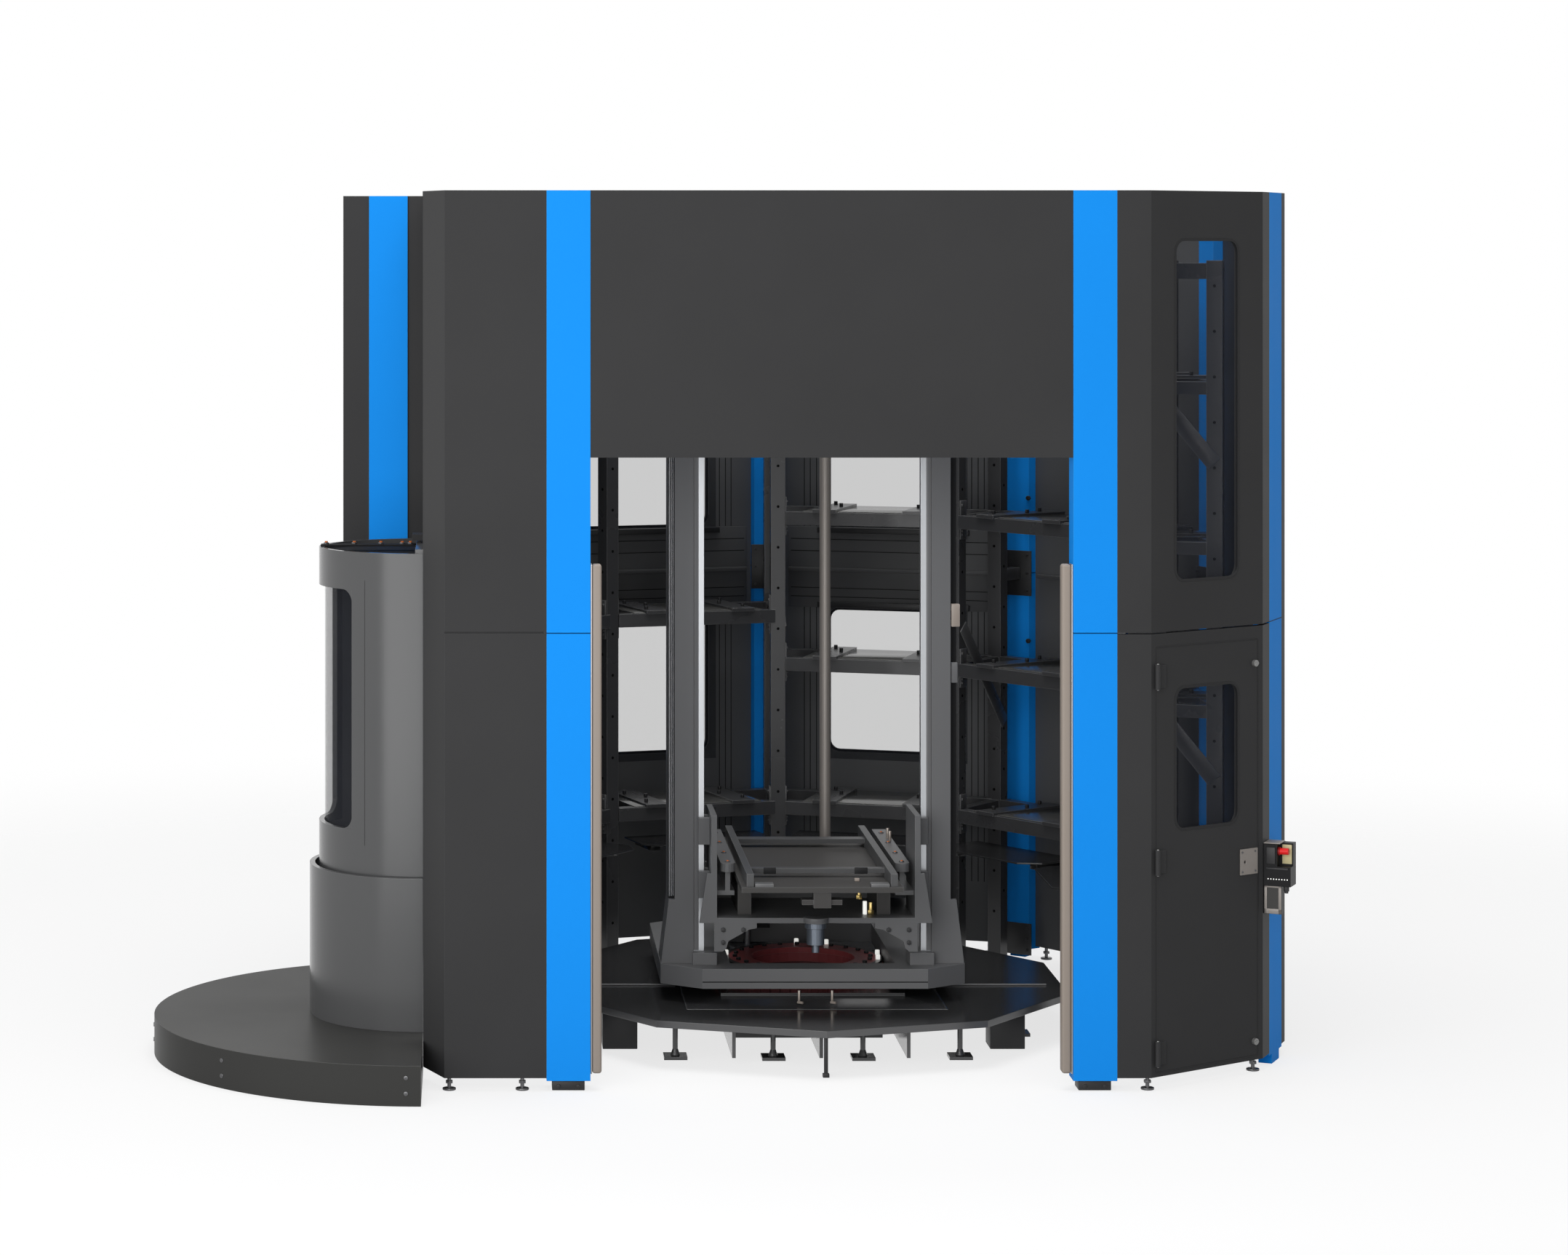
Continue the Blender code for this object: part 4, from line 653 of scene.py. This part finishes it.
# The floor pan is a sheet with a deep gloss coat that mirrors the slewing gear standing on it; its upright
# folded edges are painted lighter, a painted highlight for the light they catch. A cover strip lies over its
# joint on both sides; black blocks and a front post stand under it.
pan_edge_painted_light = (0.095, 0.095, 0.097)
joint_strips = ((-0.80, -0.50), (0.50, 0.92))
joint_y, joint_z = (-0.158, -0.150), (0.1751, 0.181)
support_x, support_y, support_top = (0.66, 0.79), (0.36, 0.49), 0.1495
post_box = ((-0.007, -0.990, 0.012), (0.007, -0.976, 0.1495))
post_foot = ((-0.012, -0.994, 0.0), (0.012, -0.972, 0.014))


def sided(side, low, high, edge=0.002):
    """A block given for the right side, made on the side asked for."""
    x0, x1 = sorted((side * low[0], side * high[0]))
    return block((x0, *low[1:]), (x1, *high[1:]), edge)


pan_gloss = coated("pan_gloss", (0.036, 0.036, 0.037), (0.09, 0.09, 0.09), 0.10, gloss=0.5, cloud=0.2,
                   spread=0.06)
tree = pan_gloss.node_tree
# Faces that stand upright take the lighter colour: painted light on the pan's edges.
facing = add_node(tree, "NewGeometry")
level_part = add_node(tree, "SeparateXYZ")
level_size = add_node(tree, "Math", "ABSOLUTE")
steep = add_node(tree, "Math", "SUBTRACT", {0: 1.0})
join(tree, (facing, "True Normal", level_part, 0), (level_part, "Z", level_size, 0),
     (level_size, 0, steep, 1))
second_coat(pan_gloss, steep, 0, pan_edge_painted_light)
dress(["floor_pan"], pan_gloss)
strip_coat = coated("joint_strip", (0.16, 0.16, 0.162), (0.3, 0.3, 0.3), 0.4, gloss=0.2)
strips = [block((x0, joint_y[0], joint_z[0]), (x1, joint_y[1], joint_z[1])) for x0, x1 in joint_strips]
piece("pan_joint_strips", strips, strip_coat, "enclosure")
supports = []
for side in (-1, 1):
    for y0, y1 in (support_y, (-support_y[1], -support_y[0])):
        supports.append(sided(side, (support_x[0], y0, 0.0), (support_x[1], y1, support_top)))
supports += [block(*post_box, 0.001), block(*post_foot)]
piece("pan_supports", supports, black_steel, "enclosure")

# The racks are dark coated steel section in six radial frames. Their posts are punched with rows of holes,
# drawn as shallow black discs of painted shade; a flat brace runs across each frame, and a bolted plate ties
# each frame to the corner strip behind it.
rack_angles = (-18, 18, 54, 90, 126, 162)
post_radii, post_half = (1.22, 1.58), 0.03
hole_radius, hole_depth = 0.006, 0.0005
hole_levels = [0.22 + 0.17 * step for step in range(16)]
side_hole_rise = 0.085
brace_levels = ((1.44, 1.01), (2.62, 2.19))
brace_gap, brace_width, brace_thickness = 0.003, 0.06, 0.005
strip_plate = {"radius": 1.742, "half": 0.072, "thickness": 0.005, "levels": ((1.53, 1.72), (0.012, 0.145))}
plate_bolt = {"radius": 0.006, "height": 0.006, "from_side": 0.018, "from_end": 0.02}
tie_half, tie_levels = 0.02, (1.60, 1.65)
strip_bolt = {"radii": (1.7485, 1.738), "y": -0.058, "levels": (1.944, 1.82, 1.34, 1.214)}


def flat_bar(start, stop, width, thickness, flat_way):
    """A flat bar between two points, its thickness along flat_way."""
    start, stop = Vector(start), Vector(stop)
    along_bar = (stop - start).normalized()
    across = Vector(flat_way).cross(along_bar).normalized()
    upright = along_bar.cross(across)
    shape = block((-width / 2, -thickness / 2, 0), (width / 2, thickness / 2, (stop - start).length), 0.001)
    turn = Matrix((across, upright, along_bar)).transposed().to_4x4()
    bmesh.ops.transform(shape, matrix=Matrix.Translation(start) @ turn, verts=shape.verts)
    return shape


rack_paint = coated("rack_paint", (0.056, 0.056, 0.058), (0.26, 0.26, 0.26), 0.28, gloss=0.4, cloud=0.2)
hole_painted_shade = coated("hole_painted_shade", (0.003, 0.003, 0.003), (0.004, 0.004, 0.004), 0.8, gloss=0.05)
dress([f"rack_section_{angle}".replace("-", "m") for angle in rack_angles], rack_paint)
holes, braces, strip_plates, ties, strip_bolts = [], [], [], [], []
for angle in rack_angles:
    rack_place = turned(angle)
    rack_holes = []
    for radius in post_radii:
        for level in hole_levels:
            face = Vector((radius - post_half, 0, level))
            rack_holes.append(rod(face, face - Vector((hole_depth, 0, 0)), hole_radius, 8))
            for side in (-1, 1):
                face = Vector((radius, side * post_half, level + side_hole_rise))
                rack_holes.append(rod(face, face + Vector((0, side * hole_depth, 0)), hole_radius, 8))
    holes.append(gather(rack_holes, rack_place))
    for ends in brace_levels:
        start, stop = [rack_place @ Vector((radius, -post_half - brace_gap, level))
                       for radius, level in zip(post_radii, ends)]
        braces.append(flat_bar(start, stop, brace_width, brace_thickness, rack_place @ Vector((0, 1, 0))))
    if angle > 0:
        plate_r, half = strip_plate["radius"], strip_plate["half"]
        for low, high in strip_plate["levels"]:
            tied = [block((plate_r, -half, low), (plate_r + strip_plate["thickness"], half, high), 0.001)]
            for y in (-half + plate_bolt["from_side"], half - plate_bolt["from_side"]):
                for z in (low + plate_bolt["from_end"], (low + high) / 2, high - plate_bolt["from_end"]):
                    tied.append(rod((plate_r, y, z), (plate_r - plate_bolt["height"], y, z),
                                    plate_bolt["radius"], 6))
            strip_plates.append(gather(tied, rack_place))
        tie = block((post_radii[1] + post_half, -tie_half, tie_levels[0]), (plate_r, tie_half, tie_levels[1]))
        ties.append(gather([tie], rack_place))
        (foot, top), y = strip_bolt["radii"], strip_bolt["y"]
        bolts = [rod((foot, y, z), (top, y, z), 0.010, 8, 0.001) for z in strip_bolt["levels"]]
        strip_bolts.append(gather(bolts, rack_place))
piece("rack_post_holes", holes, hole_painted_shade, "enclosure")
piece("rack_braces", braces, rack_paint, "enclosure")
piece("strip_plates", strip_plates, black_steel, "enclosure")
piece("strip_ties", ties, rack_paint, "enclosure")
piece("strip_bolts", strip_bolts, black_steel, "enclosure")

# Each shelf is closed by a thin glossy plate on its two rails, which shines pale in the light of the rear
# windows and carries the locating pins of the pallets. Bolted side plates hold the rails to the posts.
shelf_levels = {0: (0.69, 1.29, 1.90, 2.50), 36: (0.69, 1.29, 1.90, 2.50), 72: (0.69, 1.29, 1.90, 2.50),
                108: (0.69, 1.49, 2.30), 144: (0.69, 1.49, 2.30)}
shelf_back = {"radii": (1.15, 1.535), "sides": (-0.30, 0.265), "rise": (0.0004, 0.003)}
side_plate = {"below": 0.10, "above": 0.06, "thickness": 0.006, "half": 0.026}
side_bolt = {"rises": (-0.08, -0.065, 0.04), "inset": 0.012, "radius": 0.005, "height": 0.005}
pin_spots = ((1.20, -0.235), (1.20, 0.195), (1.34, -0.185), (1.34, 0.145), (1.46, -0.235), (1.46, 0.195))
pin_rise, pin_height, pin_radius = 0.011, 0.015, 0.008

shelf_paint = coated("shelf_plate", (0.085, 0.084, 0.080), (0.2, 0.2, 0.19), 0.14, gloss=0.6, cloud=0.15,
                     spread=0.05)
shelf_backs, shelf_pins, side_plates = [], [], []
for angle, levels in shelf_levels.items():
    for level in levels:
        faces = [level + rise for rise in shelf_back["rise"]]
        low, high = zip(shelf_back["radii"], shelf_back["sides"], faces)
        shelf_backs.append(gather([block(low, high, 0.0005)], turned(angle)))
        for rack_angle, side in ((angle - 18, 1), (angle + 18, -1)):
            face = side * (post_half + side_plate["thickness"])
            near, far = sorted((side * post_half, face))
            x0, x1 = post_radii[0] - side_plate["half"], post_radii[0] + side_plate["half"]
            foot, top = level - side_plate["below"], level + side_plate["above"]
            plate = [block((x0, near, foot), (x1, far, top), 0.001)]
            out_of_plate = Vector((0, side * side_bolt["height"], 0))
            for rise in side_bolt["rises"]:
                head = Vector((x0 + side_bolt["inset"], face, level + rise))
                plate.append(rod(head, head + out_of_plate, side_bolt["radius"], 6))
            side_plates.append(gather(plate, turned(rack_angle)))
        pins = [stud((radius, y, level + pin_rise), pin_height, pin_radius) for radius, y in pin_spots]
        shelf_pins.append(gather(pins, turned(angle)))
piece("shelf_backs", shelf_backs, shelf_paint, "enclosure")
piece("shelf_pins", shelf_pins, black_steel, "enclosure")
piece("shelf_side_plates", side_plates, rack_paint, "enclosure")

# Below the lowest shelves a dark glossy table lies in each bay, on two bearers from the posts.
# It is a plain sheet with clipped front corners.
table_box = ((0.93, -0.29, 0.556), (1.20, 0.29, 0.562))
table_clip = 0.07
bearer_x, bearer_y, bearer_z = (1.02, 1.21), (0.20, 0.24), (0.526, 0.556)

table_gloss = coated("table_gloss", (0.020, 0.020, 0.021), (0.08, 0.08, 0.08), 0.15, gloss=0.4, spread=0.05)
tables = []
for angle in shelf_levels:
    sheet = block(*table_box, 0.0)
    corners = [e for e in sheet.edges if abs(e.verts[0].co.z - e.verts[1].co.z) > 0.001
               and e.verts[0].co.x < table_box[0][0] + 0.001]
    bmesh.ops.bevel(sheet, geom=corners, offset=table_clip, segments=1, profile=0.5, affect="EDGES",
                    material=-1)
    bearers = [block((bearer_x[0], y0, bearer_z[0]), (bearer_x[1], y1, bearer_z[1]))
               for y0, y1 in ((-bearer_y[1], -bearer_y[0]), bearer_y)]
    tables.append(gather([sheet, *bearers], turned(angle)))
piece("lower_tables", tables, table_gloss, "enclosure")

# The slewing gear is a bolted plate, a toothed ring in dark red primer and an inner ring that carries the
# grey welded base frame. A pinion of bare steel under a black geared motor drives the ring.
ring_top = 0.258
bolt_circle, bolt_count = 0.262, 24
rim_radius, rim_colour = 0.286, (0.012, 0.012, 0.013)
lamp_spots = ((-0.293, 0.04), (0.293, 0.04), (0.0, 0.29), (0.116, 0.268), (0.285, -0.06))
lamp_light = (1.0, 1.0, 0.95, 1.0)
groove_box = ((-0.42, -0.5506, 0.260), (0.42, -0.5496, 0.264))
pin_x, pin_foot, pin_length = 0.0615, (-0.565, 0.190), 0.044
bent_pin = ((-0.006, -0.575, 0.192), (0.012, -0.590, 0.192))
plate_pin_radius = 0.005

frame_paint = coated("mast_paint", (0.150, 0.151, 0.154), (0.24, 0.24, 0.245), 0.42, gloss=0.12, cloud=0.10)
primer = coated("gear_primer", (0.36, 0.075, 0.080), (0.45, 0.18, 0.18), 0.45, gloss=0.25)
bare_steel = coated("ground_steel", (0.36, 0.37, 0.385), (0.6, 0.6, 0.62), 0.34, metallic=1.0, cloud=0.08)
black_coat = coated("black_plastic", (0.011, 0.011, 0.012), (0.035, 0.035, 0.035), 0.4, gloss=0.10)
lamp_white = coated("lamp_white", (0.85, 0.85, 0.82), (0.9, 0.9, 0.9), 0.3, gloss=0.4, fold=0.001)
lamp_white.node_tree.nodes["Principled BSDF"].inputs["Emission Color"].default_value = lamp_light
lamp_white.node_tree.nodes["Principled BSDF"].inputs["Emission Strength"].default_value = 0.6
pin_beige = coated("pin_beige", (0.36, 0.31, 0.27), (0.5, 0.45, 0.4), 0.35, metallic=0.4, fold=0.001)
slew_gloss = coated("slew_gloss", (0.045, 0.045, 0.047), (0.14, 0.14, 0.14), 0.18, gloss=0.45, spread=0.05)
ring_primer = coated("ring_primer", (0.40, 0.080, 0.085), (0.48, 0.18, 0.18), 0.32, gloss=0.35)
tree = ring_primer.node_tree
spot = add_node(tree, "TexCoord")
flat = add_node(tree, "VectorMath", "MULTIPLY", {1: (1.0, 1.0, 0.0)})
from_axis = add_node(tree, "VectorMath", "LENGTH")
on_rim = add_node(tree, "Math", "GREATER_THAN", {1: rim_radius})
join(tree, (spot, "Object", flat, 0), (flat, 0, from_axis, 0), (from_axis, "Value", on_rim, 0))
second_coat(ring_primer, on_rim, 0, rim_colour)
dress(["slew_base_frame"], frame_paint)
dress(["slew_pedestal", "slew_plate"], slew_gloss)
dress(["ring_gear"], primer)
dress(["slew_inner_ring"], ring_primer)
dress(["slew_pinion"], bare_steel)
dress(["slew_motor"], black_coat)
ring_foot = ring_top - 0.001
ring_bolts = [stud(around(Vector(), 360 * number / bolt_count, bolt_circle, ring_foot), 0.010, 0.010, 6)
              for number in range(bolt_count)]
piece("ring_bolts", ring_bolts, black_steel, "mast")
lamps = [stud((x, y, ring_foot), 0.019, 0.009, 10, 0.002) for x, y in lamp_spots]
piece("ring_lamps", lamps, lamp_white, "mast")
# The groove across the base frame is a thin dark strip of painted shade.
piece("base_groove_shade", [block(*groove_box, 0.0)], dark_sheet, "mast")
angle_pins = []
for x in (-pin_x, pin_x):
    angle_pins.append(stud((x, *pin_foot), pin_length, plate_pin_radius, 10))
    start, stop = [Vector((x, 0, 0)) + Vector(end) for end in bent_pin]
    angle_pins.append(rod(start, stop, plate_pin_radius, 10))
piece("plate_pins", angle_pins, pin_beige, "enclosure")

# The mast is two welded columns with a top beam; polished guide rails are screwed to their inner edges. A
# black cable cover stands beside each column, with a sensor box and a lug on the right and tapes on the left.
sensor_box = ((0.5205, -0.444, 1.575), (0.553, -0.4125, 1.660))
sensor_slot = ((0.5200, -0.438, 1.600), (0.5206, -0.420, 1.635))
cable_lug = ((0.5205, -0.430, 1.363), (0.546, -0.4125, 1.440))
cable_cover = ((0.5183, -0.4125, 0.552), (0.5424, -0.4101, 2.998))
rail_cover = ((0.4275, -0.4312, 0.36), (0.4464, -0.4301, 2.95))
tape_x, tape_y, tape_levels = (-0.523, -0.530, -0.537), -0.4142, (0.56, 2.98)
tape_radius = 0.0017

sensor_taupe = coated("sensor_taupe", (0.33, 0.28, 0.24), (0.45, 0.4, 0.36), 0.45, gloss=0.3)
dress(["mast_column_left", "mast_column_right", "mast_top_beam"], frame_paint)
dress(["guide_rail_left", "guide_rail_right"], bare_steel)
dress(["lift_motor"], black_coat)
piece("mast_sensor_box", [block(*sensor_box, 0.003)], sensor_taupe, "mast")
# The sensor's slot is a thin black sheet of painted shade.
piece("mast_sensor_slot", [block(*sensor_slot, 0.0)], hole_painted_shade, "mast")
piece("mast_cable_lug", [block(*cable_lug, 0.003)], frame_paint, "mast")
tapes = [rod((x, tape_y, tape_levels[0]), (x, tape_y, tape_levels[1]), tape_radius, 8) for x in tape_x]
piece("mast_tapes", tapes, bare_steel, "mast")
rail_covers = [sided(side, *rail_cover, 0.0004) for side in (-1, 1)]
piece("rail_covers", rail_covers, frame_paint, "mast")
cable_covers = [sided(side, *cable_cover, 0.0005) for side in (-1, 1)]
piece("cable_covers", cable_covers, dark_sheet, "mast")

# The lifting spindle is a rolled steel screw with a taupe shine; its fine thread is in the surface only.
# It stands behind the carriage between the base frame and the arm of the top beam.
thread_pitch = 0.01

spindle_steel = coated("spindle_steel", (0.30, 0.275, 0.255), (0.4, 0.37, 0.34), 0.5, metallic=0.4)
tree = spindle_steel.node_tree
spot = add_node(tree, "TexCoord")
thread = add_node(tree, "TexWave", values={"Scale": math.pi / (10 * thread_pitch)})
thread.wave_profile = "SIN"
thread.bands_direction = "Z"
join(tree, (spot, "Object", thread, "Vector"), (thread, "Fac", tree.nodes["Bump"], "Height"))
dress(["lift_spindle"], spindle_steel)

# The lifting carriage is a welded plate frame on two pairs of guide shoes. Its pad rails are screwed down
# with marked screws, bolts hold the under-brackets, and small brass and plastic sensors sit on its front.
pad_x, pad_top = 0.325, 0.7045
pad_screw_y = (-0.52, -0.30, -0.05, 0.20)
pad_screw_height, pad_tip_height = 0.004, 0.003
bracket_bolts = ((0.27, 0.462), (0.345, 0.462), (0.345, 0.415))
bracket_y, bracket_head_y = -0.5795, -0.588
brass_fittings = (((0.212, -0.50, 0.507), 0.045), ((0.170, -0.48, 0.560), 0.030))
fitting_radius, fitting_nut_radius, fitting_nut_height = 0.008, 0.012, 0.016
white_sensor, white_sensor_height = (0.189, -0.505, 0.507), 0.049
rail_sensors, rail_sensor_height = ((0.335, -0.02), (0.335, 0.06)), 0.0405

brass = coated("brass", (0.62, 0.45, 0.16), (0.8, 0.65, 0.35), 0.3, metallic=0.9, fold=0.001)
carriage_paint = coated("carriage_paint", (0.125, 0.126, 0.129), (0.24, 0.24, 0.24), 0.36, gloss=0.2)
dress(["carriage_frame"], carriage_paint)
pad_screws, pad_tips, carriage_bolts = [], [], []
for side in (-1, 1):
    for y in pad_screw_y:
        pad_screws.append(stud((side * pad_x, y, pad_top), pad_screw_height, 0.010))
        pad_tips.append(stud((side * pad_x, y, pad_top + pad_screw_height), pad_tip_height, 0.005))
    for x, z in bracket_bolts:
        carriage_bolts.append(rod((side * x, bracket_y, z), (side * x, bracket_head_y, z), 0.009, 6, 0.001))
piece("pad_screws", pad_screws, screw_steel, "carriage")
piece("pad_screw_tips", pad_tips, screw_orange, "carriage")
piece("carriage_bolts", carriage_bolts, black_steel, "carriage")
fittings = [stud(foot, height, fitting_radius, 10) for foot, height in brass_fittings]
fittings += [stud(foot, fitting_nut_height, fitting_nut_radius, 6) for foot, _ in brass_fittings]
piece("carriage_fittings", fittings, brass, "carriage")
# The white sensor takes the lamp finish and glows faintly: painted light, as it is no lamp.
sensor_stud_with_painted_glow = stud(white_sensor, white_sensor_height, fitting_radius, 10)
piece("carriage_sensor", [sensor_stud_with_painted_glow], lamp_white, "carriage")
sensor_rods = [stud((x, y, pad_top), rail_sensor_height, 0.006, 10) for x, y in rail_sensors]
piece("pad_sensors", sensor_rods, pin_beige, "carriage")

# The transfer fork is two rails on a sliding table of coated plate, a shade darker than the mast. Its cross
# bar has black rubber ends, two low stops and a sensor sit on the table, and its blue-grey motor hangs from
# a round collar.
collar_foot, collar_height, collar_radius = (0.0, -0.572, 0.4880), 0.0205, 0.047
bar_end_x, bar_end_y, bar_end_z = ((-0.198, -0.153), (0.139, 0.187)), (-0.6235, -0.6195), (0.6765, 0.7005)
table_stop = ((0.178, -0.849, 0.6641), (0.2455, -0.800, 0.6752))
table_sensor = ((0.130, -0.720, 0.6641), (0.148, -0.702, 0.6752))

table_paint = coated("fork_paint", (0.060, 0.058, 0.056), (0.18, 0.18, 0.18), 0.45, gloss=0.15)
fork_paint = coated("fork_rail_paint", (0.085, 0.086, 0.088), (0.2, 0.2, 0.2), 0.36, gloss=0.2)
motor_metal = coated("motor_metal", (0.13, 0.15, 0.18), (0.3, 0.3, 0.3), 0.3, metallic=0.6)
dress(["fork_table"], table_paint)
dress(["transfer_fork"], fork_paint)
dress(["fork_motor"], motor_metal)
motor_collar = stud(collar_foot, collar_height, collar_radius, 32, 0.002)
piece("fork_motor_collar", [motor_collar], carriage_paint, "carriage")
rubber_ends = [block((x0, bar_end_y[0], bar_end_z[0]), (x1, bar_end_y[1], bar_end_z[1]), 0.001)
               for x0, x1 in bar_end_x]
piece("cross_bar_ends", rubber_ends, rubber, "fork")
table_stops = [sided(side, *table_stop, 0.001) for side in (-1, 1)]
piece("table_stops", table_stops, carriage_paint, "carriage")
piece("table_sensor", [block(*table_sensor)], sensor_taupe, "carriage")

# The service door hangs on three pin hinges and shuts with two quarter-turn latches of stainless steel.
# A bare stainless tongue plate on it reaches to the guard lock, held by four small screws.
hinge_spot, hinge_levels = (1.15885, -1.21178), (0.13, 0.81, 1.47)
hinge_pin_radius, hinge_pin_half = 0.004, 0.0475
tongue_screws = ((0.463, 0.735), (0.463, 0.806), (0.53, 0.735), (0.53, 0.806))
tongue_y, tongue_head_y, tongue_screw_radius = -0.0055, -0.008, 0.004

latch_steel = coated("latch_steel", (0.24, 0.24, 0.235), (0.4, 0.4, 0.4), 0.35, metallic=0.5, fold=0.001)
satin_steel = coated("satin_steel", (0.27, 0.245, 0.225), (0.42, 0.40, 0.38), 0.4, gloss=0.3, cloud=0.15,
                     metallic=0.15, fold=0.0015)
dress(["cam_latch_lower", "cam_latch_upper"], latch_steel)
dress(["door_handle"], satin_steel)
hinge_pins = [stud((*hinge_spot, level - hinge_pin_half), 2 * hinge_pin_half, hinge_pin_radius, 10)
              for level in hinge_levels]
piece("hinge_pins", hinge_pins, latch_steel, "service_door")
tongue_heads = [rod((x, tongue_y, z), (x, tongue_head_y, z), tongue_screw_radius, 8)
                for x, z in tongue_screws]
piece("tongue_screws", [gather(tongue_heads, facet_place)], screw_steel, "service_door")

# The guard lock is a black moulded housing with a step for its red release knob, a bare pale plate behind
# the knob, a row of small lamps and a cable gland. Below it a stainless grip plate has a pressed pocket.
lock_corner, lock_way = (1.600, -0.8764, 0.0), (0.42432, 0.90551)
collar_ends, knob_collar_radius = ((0.029, -0.050, 0.80), (0.029, -0.057, 0.80)), 0.0155
bare_plate = ((0.0485, -0.095, 0.752), (0.0502, -0.060, 0.822))
lock_lamp_depths = [0.018 + 0.010 * step for step in range(8)]
lock_lamp_x, lock_lamp_level, lock_lamp_radius = (0.0085, 0.0065), 0.700, 0.0022
knob_ledge = ((0.004, -0.044, 0.755), (0.0085, -0.012, 0.815))
gland_nut = ((0.03, -0.080, 0.674), (0.03, -0.080, 0.655))
gland_end = ((0.03, -0.080, 0.655), (0.03, -0.080, 0.648))
lock_lip = ((0.006, -0.090, 0.735), (0.0085, -0.010, 0.741))
lock_cap = ((0.004, -0.062, 0.8285), (0.088, -0.002, 0.8315))
grip_x = (0.0110, 0.0140)
grip_bars = ((-0.0648, -0.0545, 0.573, 0.679), (-0.0125, -0.0030, 0.573, 0.679),
             (-0.0648, -0.0030, 0.573, 0.591), (-0.0648, -0.0030, 0.668, 0.679))
grip_back = ((0.0130, -0.062, 0.575), (0.0139, -0.004, 0.677))

lock_turn = Matrix.Rotation(math.atan2(lock_way[1], lock_way[0]), 4, "Z")
lock_place = Matrix.Translation(lock_corner) @ lock_turn
red_plastic = coated("red_plastic", (0.85, 0.014, 0.014), (0.95, 0.1, 0.08), 0.4, gloss=0.3, fold=0.001)
dark_red = coated("dark_red", (0.25, 0.006, 0.006), (0.4, 0.05, 0.05), 0.45, gloss=0.25, fold=0.001)
shadow_steel = coated("shadow_steel", (0.045, 0.044, 0.042), (0.12, 0.12, 0.12), 0.4, gloss=0.2, fold=0.001)
pale_plate = coated("pale_plate", (0.62, 0.55, 0.30), (0.7, 0.65, 0.45), 0.5, gloss=0.2, fold=0.001)
dress(["guard_lock"], black_coat)
dress(["release_knob"], red_plastic)
lock_lamps = [rod((lock_lamp_x[0], -depth, lock_lamp_level), (lock_lamp_x[1], -depth, lock_lamp_level),
                  lock_lamp_radius, 8) for depth in lock_lamp_depths]
lock_parts = [block(*knob_ledge, 0.0015), rod(*gland_nut, 0.010, 6, 0.001), rod(*gland_end, 0.007, 12, 0.001),
              block(*lock_lip, 0.0005)]
grip_parts = [block((grip_x[0], y0, z0), (grip_x[1], y1, z1), 0.0008) for y0, y1, z0, z1 in grip_bars]
grip_parts.append(block(*lock_cap, 0.0008))
for name, shapes, look, slot in (
        ("knob_collar", [rod(*collar_ends, knob_collar_radius, 20, 0.001)], dark_red, "red_plastic"),
        ("lock_plate", [block(*bare_plate, 0.0005)], pale_plate, "stainless"),
        ("lock_lamps", lock_lamps, lamp_white, "stainless"),
        ("lock_fittings", lock_parts, black_steel, "black_plastic"),
        ("grip_plate", grip_parts, satin_steel, "stainless"),
        ("grip_pocket", [block(*grip_back, 0.0)], shadow_steel, "stainless")):
    piece(name, [gather(shapes, lock_place)], look, "enclosure")
